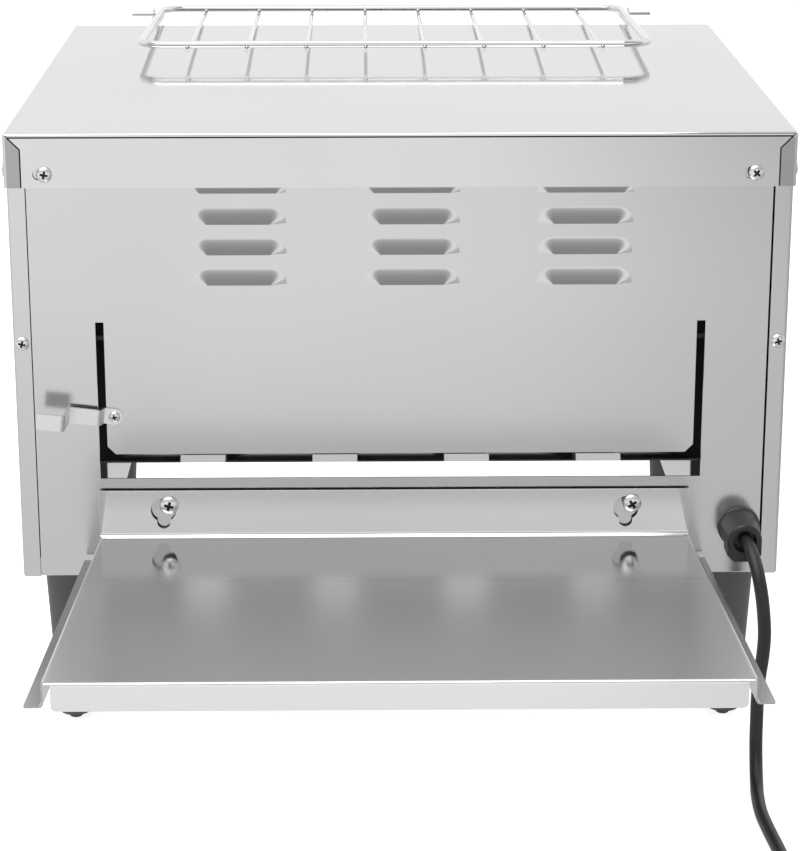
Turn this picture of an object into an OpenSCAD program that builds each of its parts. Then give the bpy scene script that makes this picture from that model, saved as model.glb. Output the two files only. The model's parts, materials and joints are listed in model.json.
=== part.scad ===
// Conveyor toaster, seen from its rear in azimuth 0: -Y is the rear, +Y the feed side, +Z up.
// Left and right are as seen from the rear. The origin is on the table, under the middle of the machine.

/* [Casing] */
// Width of the top cover
cover_w = 468; // [450:1:490]
// Depth of the top cover, rear to front
cover_d = 420; // [412:1:440]
// Height of the cover's top above the table
total_h = 387; // [380:1:400]
// Height of the legs, feet included
leg_h = 110.5; // [104:0.5:114]
// Thickness of the sheet metal
sheet = 1; // [0.8:0.1:1.2]
// Height of the cover's side and rear flanges
cover_skirt = 32.5; // [28:0.5:33]
// Height of the cover's front hem
cover_hem = 12; // [8:0.5:14]
// Gap between the cover's flanges and the side panels
cover_fit = 0.5; // [0.2:0.1:1]
// Width of the lips that the side panels turn round the corners
side_lip = 10.5; // [9:0.5:13]
// Clear width between the two inner walls
tunnel_w = 370; // [368:0.5:374]

/* [Rear panel] */
// Width of the toast outlet
outlet_w = 366.6; // [362:0.2:367]
// Height of the toast outlet
outlet_h = 98.5; // [94:0.5:100]
// Top of the toast outlet, below the cover's top
outlet_drop = 115; // [112:0.5:118]
// Width of a louvre
louvre_w = 57; // [48:0.5:64]
// Height of a louvre
louvre_h = 9.7; // [8:0.1:11]
// How far a louvre's hood stands out
louvre_out = 4; // [2.5:0.1:5]
// Distance between louvre rows
louvre_pitch = 18.5; // [16:0.1:19]
// Distance between louvre columns
louvre_spacing = 103; // [90:0.5:110]
// How far the louvres stand to the right of the middle
louvre_shift = 6.6; // [-8:0.2:8]
// Lip of the first louvre row, below the cover's top
louvre_drop = 35.9; // [35.5:0.1:38]

/* [Conveyor] */
// Distance between belt rods
belt_pitch = 12.7; // [12.4:0.05:12.9]
// Teeth on each sprocket
sprocket_teeth = 12; // [12:2:14]
// Rod distances between the two shafts
belt_run = 23; // [21:1:23]
// Width of the belt
belt_w = 336; // [320:1:345]
// Diameter of a belt rod
rod_d = 2.4; // [2:0.1:2.8]
// Height of the shafts' axes below the cover's top
belt_drop = 102; // [98:0.5:104]
// Distance of the drive shaft from the rear
drive_inset = 100; // [96:1:102]
// Diameter of the shafts
shaft_d = 12; // [10:0.5:14]

/* [Heating] */
// Diameter of a heating tube
tube_d = 10; // [8:0.5:12]
// Axis of the upper tubes, below the cover's top
upper_tube_drop = 29; // [26:0.5:32]
// Distance between heating tubes
tube_spacing = 80; // [70:1:88]
// Upper reflector, below the cover's top
upper_reflector_drop = 14; // [13:0.5:16]

/* [Outlet] */
// Slope of the toast chute
chute_slope = 17; // [15:0.5:18]
// Rear end of the toast chute, above the outlet's sill
chute_rise = 10.7; // [8:0.1:12]
// Height of the chute's side flanges
chute_side = 18; // [12:0.5:24]
// Length of the chute along its slope
chute_len = 420; // [380:5:424]
// Gap between the deflector plate and the outlet's sides
deflector_side_gap = 4.6; // [3:0.1:6]
// Gap between the deflector plate and the outlet's sill
deflector_sill_gap = 14.5; // [12:0.5:18]
// Diameter of the deflector's hinge rod
hinge_rod_d = 4; // [3:0.1:4.4]
// Hinge rod's axis, below the top of the outlet
hinge_drop = 11; // [8:0.5:14]
// Hinge rod's axis, in front of the machine's rear face
hinge_inset = 8; // [7.5:0.1:9]
// Width of the lever's strip
lever_w = 9; // [7:0.5:11]
// Thickness of the lever's strip
lever_t = 1.5; // [1:0.1:1.8]
// Lever screw, below the cover's top
lever_drop = 174.5; // [168:0.5:180]
// How far the lever's handle stands off the rear panel
lever_step = 17; // [12:0.5:20]
// Tilt of the lever, its outer end up
lever_tilt = 6; // [0:0.5:8]

/* [Tray] */
// Width of the tray at the rear panel
tray_w = 361; // [350:1:366]
// Width of the tray at its outer end
tray_flare_w = 385.4; // [376:0.2:392]
// Reach of the tray from the rear face
tray_reach = 222; // [210:1:240]
// Height of the tray's back flange
tray_back = 29; // [28:0.5:32]
// Fold of the tray's back flange, below the cover's top
tray_drop = 249.5; // [247:0.5:252]
// Gap between the hung tray and the rear panel
tray_gap = 2.5; // [1:0.1:3]
// Droop of the tray's floor, whose fold is a little open
tray_droop = 2; // [0:0.5:4]
// Depth of the tray's side flanges
tray_side = 15.5; // [10:0.5:18]
// Depth of the tray's front lip
tray_lip = 16; // [10:0.5:18]
// Width of the rim along the tray's side flanges
tray_rim = 10; // [6:0.5:12]
// How far the hung tray stands to the left
tray_shift = 3.6; // [3:0.1:3.7]
// Diameter of a keyhole's round part
keyhole_d = 15.5; // [15.3:0.1:17]
// Width of a keyhole's slot
keyhole_slot_w = 8; // [6:0.1:9]
// Distance from the keyhole's centre to the end of its slot
keyhole_slot = 12; // [10:0.5:13]
// Distance between the tray screws
tray_screw_span = 283.2; // [260:0.2:290]
// Diameter of a tray screw's shank
tray_screw_d = 5; // [4.5:0.1:5.2]

/* [Bread rack] */
// Width of the rack's ring, between its rods' axes
rack_w = 345; // [330:1:350]
// Length of the rack's ring, between its rods' axes
rack_len = 227; // [215:1:240]
// Diameter of the ring's rod
ring_d = 5; // [4:0.2:6]
// Diameter of the slide bars
bar_d = 3; // [2.6:0.1:3.4]
// Number of slide bars
bar_count = 8; // [6:1:10]
// Diameter of the hinge stubs
stub_d = 3.5; // [3:0.1:4]
// Length over both hinge stubs
stub_span = 393; // [388:1:396]
// Corner radius of the ring
ring_corner = 18; // [12:1:24]
// Hinge of the rack, in front of the cover
rack_reach = 58; // [54:1:62]
// Tilt of the stored rack, its rear end up
rack_tilt = 2.2; // [1.8:0.1:3]

/* [Controls] */
// Diameter of the knobs
knob_d = 34; // [26:1:38]
// Depth of the knobs
knob_h = 18; // [14:1:22]
// Heat knob's axis, below the cover's top
heat_knob_drop = 92; // [80:1:96]
// Speed knob's axis, below the cover's top
speed_knob_drop = 152; // [146:1:160]
// Indicator lamp, below the cover's top
lamp_drop = 48; // [44:1:54]
// Diameter of the knobs' spindles
spindle_d = 6; // [5:0.1:7]
// Height of the control bodies
control_w = 32; // [28:0.5:34]

/* [Legs] */
// Diameter of a leg at its top
leg_top_d = 32; // [26:0.5:34]
// Diameter of a leg at its foot
leg_foot_d = 21; // [18:0.5:24]
// Height of a foot
foot_h = 4.3; // [3.5:0.1:6]
// Legs' distance from the rear and front faces
leg_inset = 42; // [36:1:48]
// Diameter of a leg's stud
stud_d = 8; // [6:0.5:10]

/* [Mains lead] */
// Diameter of the lead
cord_d = 8; // [7:0.1:8.2]
// Height of the gland's axis above the table
gland_z = 141; // [139:0.5:143]
// Length of the gland's tapered sleeve
gland_sleeve = 14; // [14:0.5:16]
// Radius of the coil's outer turn
coil_r = 52; // [50:0.5:54]
// Turns in each of the coil's two layers
coil_turns = 1.875; // [1.875:1:2.875]
// Distance between turns and between layers
coil_step = 8.8; // [8.7:0.1:9.4]

/* [Hidden] */
$fn = 48;

// Clearances: a turning shaft, a fixed fit, pieces that move past each other, and a cut's overrun
run_gap = 0.05;
fit_gap = 0.02;
move_gap = 0.3;
cut = 1;

steel = "gainsboro";
dark = "dimgray";
black = "black";

// Main places
ear_r = 4;
rear_y = (tray_reach - cover_d - rack_reach - ear_r) / 2;
front_y = rear_y + cover_d;
body_w = cover_w - 2 * (sheet + cover_fit);
panel_w = body_w - 2 * sheet;
panel_h = total_h - sheet - leg_h;
wall_x = tunnel_w / 2;
column_w = panel_w / 2 - wall_x - sheet;
column_x = wall_x + sheet + column_w / 2;
rear_face = rear_y + 2 * sheet;
rear_inside = rear_y + 3 * sheet;
front_face = front_y - 2 * sheet;
front_inside = front_y - 3 * sheet;
outlet_top = total_h - outlet_drop;
outlet_sill = outlet_top - outlet_h;

// Conveyor
half_teeth = sprocket_teeth / 2;
sprocket_r = belt_pitch / (2 * sin(180 / sprocket_teeth));
axis_z = total_h - belt_drop;
drive_y = rear_y + drive_inset;
idler_y = drive_y + belt_run * belt_pitch;
rod_count = 2 * belt_run + sprocket_teeth;
rod_r = rod_d / 2;
shaft_r = shaft_d / 2;
gullet_gap = 0.4;
tooth_h = 1.8;
sprocket_t = 5;
sprocket_xs = [-108, 0, 108];
hub_r = shaft_r + 5;
hub_l = 14;
link_xs = [-162, -54, 54, 162];
link_t = 3;
link_web = 1.8;
eye_r = rod_r + 1.5;
eye_gap = 0.1;
bush_wall = 3;
bush_flange = 2;
bush_inner = 4;

// Heating
tube_r = tube_d / 2;
ceramic_wall = 2.5;
ceramic_l = 9;
ceramic_rim = 2;
tube_end = 6;
tubes_y = (drive_y + idler_y) / 2;

// Gear motor with a hollow output shaft
motor_r = 29;
motor_stand = 8;
motor_room = 9.5;
motor_l = column_w - motor_stand - motor_room;
motor_stub_d = 8;
motor_post_r = 3.5;
motor_post_at = 23;

// Deflector
hinge_y = rear_y + hinge_inset;
hinge_z = outlet_top - hinge_drop;
hinge_r = hinge_rod_d / 2;
curl_r = hinge_r + run_gap + sheet;
deflector_w = outlet_w - 2 * deflector_side_gap;
deflector_bottom = outlet_sill + deflector_sill_gap;
deflector_top = outlet_top - move_gap;
deflector_chamfer = 5;
deflector_flange = 8;
deflector_out = hinge_y - curl_r;
lever_inset = 5;
lever_z = total_h - lever_drop;
lever_x = -deflector_w / 2 + lever_inset;
lever_hook = 2.1;
lever_run = 21;
lever_handle = 16;
lever_slant = 4;
lever_l = lever_inset + lever_run + lever_slant + lever_handle;
lever_screw_r = 3.5;

// Tray
tray_y = rear_face - tray_gap;
tray_z = total_h - tray_drop;
tray_floor_l = (tray_reach + 2 * sheet - tray_gap) / cos(tray_droop);
tray_angle = atan((tray_flare_w - tray_w) / 2 / tray_floor_l);
tray_fold = sheet * 1.1;
tray_lip_inset = 6;
tray_lip_corner = 8;
tray_screw_z = tray_z + tray_back - 8.9;
keyhole_z = tray_screw_z - tray_shift;
tray_screw_r = tray_screw_d / 2;
tray_head_r = 5.75;
tray_head_h = 3.4;
tray_nut_r = 5;
tray_nut_h = 4;

// Rack
stub_r = stub_d / 2;
ring_r = ring_d / 2;
bar_r = bar_d / 2;
weld = 0.2;
ring_up = ring_r + stub_r - weld;
bar_up = ring_up - ring_r - bar_r + weld;
bar_over = 4;
stub_leg = 60;
stub_bend = 6;
pivot_y = front_y + rack_reach;
rack_under = min(bar_up - bar_r, -stub_r);
pivot_z = total_h + move_gap - rack_reach * tan(rack_tilt) - rack_under / cos(rack_tilt);
arm_drop = 45;
joggle_y = front_y + 16;
joggle_h = 22;
ear_gap = 0.8;
ear_x = rack_w / 2 + stub_bend + ear_gap;

// Controls
control_d = 24;
control_room = 6.75;
control_across = column_w - 2 * control_room;
neck_r = 5;
neck_l = 5;
knob_gap = sheet + 2 * move_gap;
spindle_in = 10;
lamp_r = 6;

// Legs
leg_x = (wall_x + panel_w / 2) / 2;
stud_h = 10;
nut_h = 5;
foot_r = 7.3;
foot_tip_r = 3.7;

// Screws
cover_screw_drop = 24.3;
cover_screw_inset = 24;
cover_screw_x = cover_w / 2 - cover_screw_inset;
cover_screw_r = 4.7;
side_screw_inset = 14;
panel_screw_drop = 127.6;
panel_screw_r = 4.3;
screw_shank_r = 2;
screw_l = 9;
slot_w = 15;
slot_h = 7;
slot_shift = 3.5;

// Chute's pressed ribs
rib_w = 27.5;
rib_h = 3.5;
rib_spacing = 80.4;
rib_l = chute_len - 30;

// Lead: gland, free stretch and coil
cord_r = cord_d / 2;
gland_in = 0.75;
gland_x = column_x - gland_in;
gland_flange_r = 13;
gland_flange = 3.5;
gland_collar_r = 9.6;
gland_collar = 6;
gland_barrel_r = 8.5;
gland_nut = 5;
gland_tip = rear_face - gland_flange - gland_collar - gland_sleeve;
tie_t = 0.8;
tie_w = 10;
coil_z = cord_r + tie_t + move_gap;
coil_x = gland_x - 45.5;
coil_y = -258;
coil_tail = 46;
plug_w = 36;
plug_l = 40;
plug_pin_r = 2.4;
plug_pin_l = 19;
plug_pin_gap = 19;
// Route of the free stretch: from the gland's axis across, behind the rear face (negative), above the table
cord_route = [[0, -25.5, 141], [0.8, -38.5, 138.4], [2.6, -49.5, 131], [5.2, -56.9, 120], [7.6, -59.5, 107],
  [9, -60, 93], [8.4, -60, 79], [7, -60, 66], [6.3, -60.6, 53], [6.1, -62, 41.1], [5.8, -64.7, 27.3],
  [5.2, -72.5, 15.6], [4.2, -84.2, 7.8], [3, -98, 5.1], [2, -120, 5.1], [3, -142, 5.1], [4.8, -166, 5.1],
  [6.2, -190, 5.1], [6.5, -215, 5.1], [6.5, -240, 5.1]];

// Small shapes that repeat

// A pan-head screw with a cross recess, its head towards +Z and its seat at z = 0
module pan_screw(head_r, head_h, shank_r, shank_l) {
  dome_h = head_h * 0.6;
  dome_r = (head_r * head_r + dome_h * dome_h) / (2 * dome_h);
  recess_w = head_r * 0.28;
  difference() {
    intersection() {
      cylinder(r = head_r, h = head_h);
      translate([0, 0, head_h - dome_r]) sphere(dome_r);
    }
    for (turn = [0, 90])
      rotate([0, 0, turn])
        translate([-head_r * 0.55, -recess_w / 2, head_h * 0.45]) cube([head_r * 1.1, recess_w, head_h]);
  }
  translate([0, 0, -shank_l]) cylinder(r = shank_r, h = shank_l);
}

// A round-ended slot outline, across by high
module slot_outline(across, high) {
  square([across - high, high], center = true);
  for (s = [-1, 1]) translate([s * (across - high) / 2, 0]) circle(d = high);
}

// An outline drawn in Y and Z, given a thickness along +X
module along_x(length) rotate([90, 0, 90]) linear_extrude(length) children();

// A rod along X, centred on x = 0
module rod_x(r, length) rotate([0, 90, 0]) cylinder(r = r, h = length, center = true);

// Something built on the right, or its mirror image on the left
module on_side(side) mirror([side < 0 ? 1 : 0, 0, 0]) children();

// Casing

module cover_corner_seam(side) {
  seam_w = 0.4;
  seam_in = 8.5;
  seam_l = (seam_in - 3 * sheet) * sqrt(2);
  on_side(side) translate([cover_w / 2 - seam_in - seam_w, rear_y - cut, total_h - seam_in]) {
    translate([0, 0, seam_in - cover_skirt - cut])
      cube([seam_w, sheet + 2 * cut, cover_skirt + cut - seam_in + seam_w]);
    rotate([0, -45, 0]) cube([seam_l, sheet + 2 * cut, seam_w]);
  }
}

module top_cover() color(steel) difference() {
  translate([-cover_w / 2, rear_y, total_h - cover_skirt]) cube([cover_w, cover_d, cover_skirt]);
  translate([-cover_w / 2 + sheet, rear_y + sheet, total_h - cover_skirt - cut])
    cube([cover_w - 2 * sheet, cover_d - 2 * sheet, cover_skirt + cut - sheet]);
  translate([-panel_w / 2 + side_lip, front_y - 2 * sheet, total_h - cover_skirt - cut])
    cube([panel_w - 2 * side_lip, 3 * sheet, cover_skirt + cut - cover_hem]);
  for (side = [-1, 1]) {
    cover_corner_seam(side);
    translate([side * cover_screw_x - slot_shift, rear_y + 2 * sheet, total_h - cover_screw_drop])
      rotate([90, 0, 0]) linear_extrude(3 * sheet) slot_outline(slot_w, slot_h);
    for (y = [rear_y + side_screw_inset, front_y - side_screw_inset])
      translate([side * cover_w / 2, y, total_h - cover_screw_drop])
        rod_x(screw_shank_r + fit_gap, 3 * sheet);
  }
}

module side_panel(side) color(steel) on_side(side) difference() {
  union() {
    translate([panel_w / 2, rear_y + sheet, leg_h]) cube([sheet, cover_d - 2 * sheet, panel_h]);
    for (y = [rear_y + sheet, front_face])
      translate([body_w / 2 - side_lip, y, leg_h]) cube([side_lip, sheet, panel_h]);
  }
  for (y = [rear_y, front_face - sheet / 2])
    translate([panel_screw_x(), y + 3 * sheet, total_h - panel_screw_drop])
      rotate([90, 0, 0]) cylinder(r = screw_shank_r + fit_gap, h = 4 * sheet);
  for (y = [rear_y + side_screw_inset, front_y - side_screw_inset])
    translate([panel_w / 2, y, total_h - cover_screw_drop]) rod_x(screw_shank_r + fit_gap, 4 * sheet);
}

function panel_screw_x() = body_w / 2 - side_lip / 2;

// Section of a louvre: height above its lip by distance out of the panel
module louvre_section(high, out, wall, back) {
  r = (high * high + out * out) / (2 * out);
  intersection() {
    translate([0, out - r]) circle(r - wall);
    translate([0, -back]) square([2 * high, back + 2 * out]);
  }
}

// A hood that follows that section over its two rounded ends and its straight middle
module louvre_hood(high, out, wall, back) {
  straight = louvre_w - 2 * high;
  translate([-straight / 2, 0, 0]) along_x(straight) louvre_section(high, out, wall, back);
  for (side = [-1, 1])
    on_side(side) translate([straight / 2, 0, 0])
      rotate_extrude(angle = 90) louvre_section(high, out, wall, back);
}

// Every louvre of the rear panel; the first row is cut short by the cover's flange
module louvres(wall, back) {
  first_h = louvre_drop - cover_skirt - move_gap;
  for (row = [0 : 3], column = [-1 : 1]) {
    high = row == 0 ? first_h : louvre_h;
    out = row == 0 ? first_h * 0.85 : louvre_out;
    translate([louvre_shift + column * louvre_spacing, rear_face,
               total_h - louvre_drop - row * louvre_pitch])
      rotate([90, 0, 0]) louvre_hood(high, out, wall, back);
  }
}

module rear_panel() color(steel) difference() {
  union() {
    translate([-panel_w / 2, rear_face, leg_h]) cube([panel_w, sheet, panel_h]);
    louvres(0, sheet / 2);
  }
  louvres(sheet * 0.8, sheet + cut);
  translate([-outlet_w / 2, rear_y, outlet_sill]) cube([outlet_w, 4 * sheet, outlet_h]);
  for (side = [-1, 1]) {
    translate([side * tray_screw_span / 2, rear_inside + cut, tray_screw_z])
      rotate([90, 0, 0]) cylinder(r = tray_screw_r + fit_gap, h = sheet + 2 * cut);
    translate([side * cover_screw_x, rear_inside + cut, total_h - cover_screw_drop])
      rotate([90, 0, 0]) cylinder(r = screw_shank_r + fit_gap, h = sheet + 2 * cut);
    translate([side * panel_screw_x(), rear_inside + cut, total_h - panel_screw_drop])
      rotate([90, 0, 0]) cylinder(r = screw_shank_r + fit_gap, h = sheet + 2 * cut);
  }
  translate([gland_x, rear_inside + cut, gland_z])
    rotate([90, 0, 0]) cylinder(r = gland_barrel_r + fit_gap, h = sheet + 2 * cut);
}

module front_panel() color(steel) {
  feed_top = total_h - cover_hem - move_gap;
  feed_bottom = axis_z - sprocket_r - eye_r - 4;
  difference() {
    translate([-panel_w / 2, front_inside, leg_h]) cube([panel_w, sheet, panel_h]);
    translate([-wall_x - sheet - move_gap, front_inside - cut, feed_bottom])
      cube([2 * (wall_x + sheet + move_gap), sheet + 2 * cut, feed_top - feed_bottom]);
    for (drop = [heat_knob_drop, speed_knob_drop])
      translate([column_x, front_inside - cut, total_h - drop])
        rotate([-90, 0, 0]) cylinder(r = neck_r + fit_gap, h = sheet + 2 * cut);
    translate([column_x, front_inside - cut, total_h - lamp_drop])
      rotate([-90, 0, 0]) cylinder(r = lamp_r - 1 + fit_gap, h = sheet + 2 * cut);
    for (side = [-1, 1])
      translate([side * panel_screw_x(), front_inside - cut, total_h - panel_screw_drop])
        rotate([-90, 0, 0]) cylinder(r = screw_shank_r + fit_gap, h = sheet + 2 * cut);
  }
}

// Inner wall; its arm reaches through the feed opening and joggles inwards to the root of the rack's stub
module inner_wall(side) color(steel) on_side(side) {
  arm_top = total_h - cover_hem - 2 * move_gap;
  translate([wall_x, 0, 0]) along_x(sheet) difference() {
    union() {
      translate([rear_inside, leg_h]) square([front_inside - rear_inside, panel_h]);
      polygon([[front_inside - cut, arm_top - arm_drop], [front_inside - cut, arm_top],
               [joggle_y, arm_top], [joggle_y, arm_top - joggle_h]]);
    }
    translate([hinge_y, hinge_z]) circle(hinge_r + fit_gap);
    for (y = [drive_y, idler_y]) translate([y, axis_z]) circle(shaft_r + bush_wall + fit_gap);
    for (place = tube_places()) translate(place) circle(tube_r + ceramic_wall + fit_gap);
  }
  translate([min(ear_x, wall_x), joggle_y - sheet, arm_top - joggle_h])
    cube([abs(wall_x - ear_x) + sheet, sheet, joggle_h]);
  translate([ear_x, 0, 0]) along_x(sheet) difference() {
    union() {
      polygon([[joggle_y - sheet, arm_top - joggle_h], [joggle_y - sheet, arm_top],
               [pivot_y - ear_r * 0.6, pivot_z + ear_r * 0.8],
               [pivot_y + ear_r * 0.6, pivot_z - ear_r * 0.8]]);
      translate([pivot_y, pivot_z]) circle(ear_r);
    }
    translate([pivot_y, pivot_z]) circle(stub_r + run_gap);
  }
}

module base_plate(side) color(steel) on_side(side) difference() {
  flange_h = 12;
  translate([wall_x + sheet, rear_inside, leg_h])
    cube([panel_w / 2 - wall_x - sheet, front_inside - rear_inside, flange_h]);
  translate([wall_x, rear_inside + sheet, leg_h + sheet])
    cube([panel_w, front_inside - rear_inside - 2 * sheet, flange_h]);
  for (y = [rear_y + leg_inset, front_y - leg_inset])
    translate([leg_x, y, leg_h - cut]) cylinder(r = stud_d / 2 + fit_gap, h = sheet + 2 * cut);
}

module cover_screws() color("silver") for (side = [-1, 1]) {
  translate([side * cover_screw_x, rear_y, total_h - cover_screw_drop])
    rotate([90, 0, 0]) pan_screw(cover_screw_r, 2.8, screw_shank_r, screw_l);
  for (y = [rear_y + side_screw_inset, front_y - side_screw_inset])
    translate([side * cover_w / 2, y, total_h - cover_screw_drop])
      rotate([0, side * 90, 0]) pan_screw(panel_screw_r, 2.4, screw_shank_r, screw_l);
}

module panel_screws() color("silver") for (side = [-1, 1]) {
  translate([side * panel_screw_x(), rear_y + sheet, total_h - panel_screw_drop])
    rotate([90, 0, 0]) pan_screw(panel_screw_r, 2.6, screw_shank_r, screw_l);
  translate([side * panel_screw_x(), front_y - sheet, total_h - panel_screw_drop])
    rotate([-90, 0, 0]) pan_screw(panel_screw_r, 2.6, screw_shank_r, screw_l);
}

// Heating

// Axes of the upper and the lower tubes in Y and Z
function tube_places() = [for (k = [-1 : 1], z = [total_h - upper_tube_drop, axis_z + 3])
  [tubes_y + k * tube_spacing, z]];

module heating_tubes(z) color("ivory") for (k = [-1 : 1])
  translate([0, tubes_y + k * tube_spacing, z]) rod_x(tube_r, tunnel_w + 2 * (sheet + tube_end));

module upper_heaters() heating_tubes(total_h - upper_tube_drop);

module lower_heaters() heating_tubes(axis_z + 3);

module heater_ends() color("white") for (side = [-1, 1], place = tube_places())
  on_side(side) translate([0, place[0], place[1]]) difference() {
    union() {
      translate([wall_x + sheet / 2, 0, 0]) rod_x(tube_r + ceramic_wall, ceramic_l);
      translate([wall_x + sheet + ceramic_rim / 2, 0, 0])
        rod_x(tube_r + ceramic_wall + ceramic_rim, ceramic_rim);
    }
    translate([wall_x, 0, 0]) rod_x(tube_r + fit_gap, 4 * ceramic_l);
  }

// A folded sheet across the tunnel, its two long edges turned down
module reflector(y0, y1, z, edge_h) translate([-wall_x, 0, 0]) along_x(tunnel_w) difference() {
  translate([y0, z - edge_h]) square([y1 - y0, edge_h]);
  translate([y0 + sheet, z - edge_h - cut]) square([y1 - y0 - 2 * sheet, edge_h + cut - sheet]);
}

module upper_reflector() color("silver")
  reflector(rear_y + 50, front_y - 14, total_h - upper_reflector_drop, 8);

module lower_reflector() color("silver")
  reflector(drive_y + 42, idler_y - 42, axis_z - tube_r - 6, 6);

// A chute that starts above the outlet's sill and slides down to the front: sides turned up, ribs pressed in
module toast_chute() color("silver")
  translate([0, rear_inside + move_gap, outlet_sill + chute_rise]) rotate([-chute_slope, 0, 0]) difference() {
    union() {
      translate([-wall_x, 0, -sheet]) cube([tunnel_w, chute_len, sheet]);
      for (side = [-1, 1]) on_side(side) translate([wall_x - sheet, 0, -sheet])
        cube([sheet, chute_len, sheet + chute_side]);
      for (k = [-1.5 : 1.5]) translate([k * rib_spacing - rib_w / 2, 0, 0]) cube([rib_w, rib_l, rib_h]);
    }
    for (k = [-1.5 : 1.5]) translate([k * rib_spacing - rib_w / 2 + sheet, sheet, -sheet - cut])
      cube([rib_w - 2 * sheet, rib_l - 2 * sheet, rib_h + cut]);
  }

// Conveyor

module sprocket_outline() difference() {
  circle(sprocket_r + tooth_h);
  for (k = [0 : sprocket_teeth - 1])
    rotate(k * 360 / sprocket_teeth) {
      translate([0, sprocket_r]) circle(rod_r + gullet_gap);
      translate([-rod_r - gullet_gap, sprocket_r]) square([2 * (rod_r + gullet_gap), 2 * tooth_h]);
    }
}

module sprockets(y) color("silver") for (x = sprocket_xs) translate([x, y, axis_z]) difference() {
  union() {
    translate([-sprocket_t / 2, 0, 0]) along_x(sprocket_t) sprocket_outline();
    rod_x(hub_r, hub_l);
  }
  rod_x(shaft_r + fit_gap, 2 * hub_l);
}

module drive_sprockets() sprockets(drive_y);

module idler_sprockets() sprockets(idler_y);

shaft_l = tunnel_w + 2 * (sheet + bush_flange + 2);

module drive_shaft() color("silver") translate([0, drive_y, axis_z]) {
  stub_l = motor_stand + motor_l * 0.7;
  rod_x(shaft_r, shaft_l);
  translate([wall_x, 0, 0]) rotate([0, 90, 0]) cylinder(d = motor_stub_d, h = sheet + stub_l);
}

module idler_shaft() color("silver") translate([0, idler_y, axis_z]) rod_x(shaft_r, shaft_l);

module shaft_bushes() color("peru") for (side = [-1, 1], y = [drive_y, idler_y])
  on_side(side) translate([wall_x - bush_inner, y, axis_z]) rotate([0, 90, 0]) difference() {
    union() {
      cylinder(r = shaft_r + bush_wall, h = bush_inner + sheet + bush_flange);
      translate([0, 0, bush_inner + sheet]) cylinder(r = shaft_r + 2 * bush_wall, h = bush_flange);
    }
    translate([0, 0, -cut]) cylinder(r = shaft_r + run_gap, h = bush_inner + sheet + bush_flange + 2 * cut);
  }

// Place of belt rod i along the belt's loop, in Y and Z: upper run, front wrap, lower run, rear wrap
function belt_place(i) =
  i < belt_run ? [drive_y + i * belt_pitch, axis_z + sprocket_r]
  : i < belt_run + half_teeth ? wrap_place(idler_y, 90 - (i - belt_run) * 180 / half_teeth)
  : i < 2 * belt_run + half_teeth ? [idler_y - (i - belt_run - half_teeth) * belt_pitch, axis_z - sprocket_r]
  : wrap_place(drive_y, -90 - (i - 2 * belt_run - half_teeth) * 180 / half_teeth);

function wrap_place(y, angle) = [y + sprocket_r * cos(angle), axis_z + sprocket_r * sin(angle)];

module belt_rods() color("silver") for (i = [0 : rod_count - 1])
  translate([0, belt_place(i)[0], belt_place(i)[1]]) rod_x(rod_r, belt_w);

// The belt's loop at a distance from the shafts' axes
module belt_loop(r) {
  for (y = [drive_y, idler_y]) translate([y, axis_z]) circle(r);
  translate([drive_y, axis_z - r]) square([idler_y - drive_y, 2 * r]);
}

// Strips of links: an eye round every rod and a narrow web between the eyes
module belt_links() color("silver") for (x = link_xs) translate([x - link_t / 2, 0, 0])
  along_x(link_t) difference() {
    union() {
      difference() {
        belt_loop(sprocket_r + link_web / 2);
        belt_loop(sprocket_r - link_web / 2);
      }
      for (i = [0 : rod_count - 1]) translate(belt_place(i)) circle(eye_r);
    }
    for (i = [0 : rod_count - 1]) translate(belt_place(i)) circle(rod_r + eye_gap);
  }

module gear_motor() color(dark) translate([wall_x + sheet, drive_y, axis_z]) rotate([0, 90, 0]) difference() {
  union() {
    translate([0, 0, motor_stand]) cylinder(r = motor_r, h = motor_l);
    for (turn = [45 : 90 : 315]) rotate([0, 0, turn]) translate([motor_post_at, 0, 0])
      cylinder(r = motor_post_r, h = motor_stand + cut);
  }
  cylinder(r = motor_stub_d / 2 + run_gap, h = motor_stand + motor_l * 0.8);
}

// Outlet

module deflector_plate() color(steel) difference() {
  union() {
    translate([0, hinge_y, hinge_z]) rod_x(curl_r, deflector_w);
    translate([0, deflector_out + sheet, 0]) rotate([90, 0, 0]) linear_extrude(sheet)
      polygon([[-deflector_w / 2, deflector_top], [deflector_w / 2, deflector_top],
               [deflector_w / 2, deflector_bottom + deflector_chamfer],
               [deflector_w / 2 - deflector_chamfer, deflector_bottom],
               [deflector_chamfer - deflector_w / 2, deflector_bottom],
               [-deflector_w / 2, deflector_bottom + deflector_chamfer]]);
    translate([deflector_w / 2 - sheet, deflector_out, deflector_bottom + 2 * deflector_chamfer])
      cube([sheet, deflector_flange, hinge_z - deflector_bottom - 4 * deflector_chamfer]);
  }
  translate([0, hinge_y, hinge_z]) rod_x(hinge_r + run_gap, 2 * deflector_w);
  translate([lever_x, deflector_out + 2 * sheet, lever_z]) rotate([90, 0, 0])
    cylinder(r = screw_shank_r + fit_gap, h = 3 * sheet);
}

module deflector_rod() color("silver") translate([0, hinge_y, hinge_z])
  rod_x(hinge_r, tunnel_w + 2 * (sheet + 3));

// A strip bent out through the outlet's side: path points across and out from the deflector's face
function lever_path() = [[lever_w, 0], [-lever_inset - 1, 0],
  [-lever_inset - lever_hook, deflector_out - rear_face + move_gap],
  [-lever_inset - lever_run, deflector_out - rear_face + move_gap],
  [-lever_inset - lever_run - lever_slant, deflector_out - rear_face + lever_step],
  [-lever_inset - lever_run - lever_slant - lever_handle, deflector_out - rear_face + lever_step]];

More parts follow.
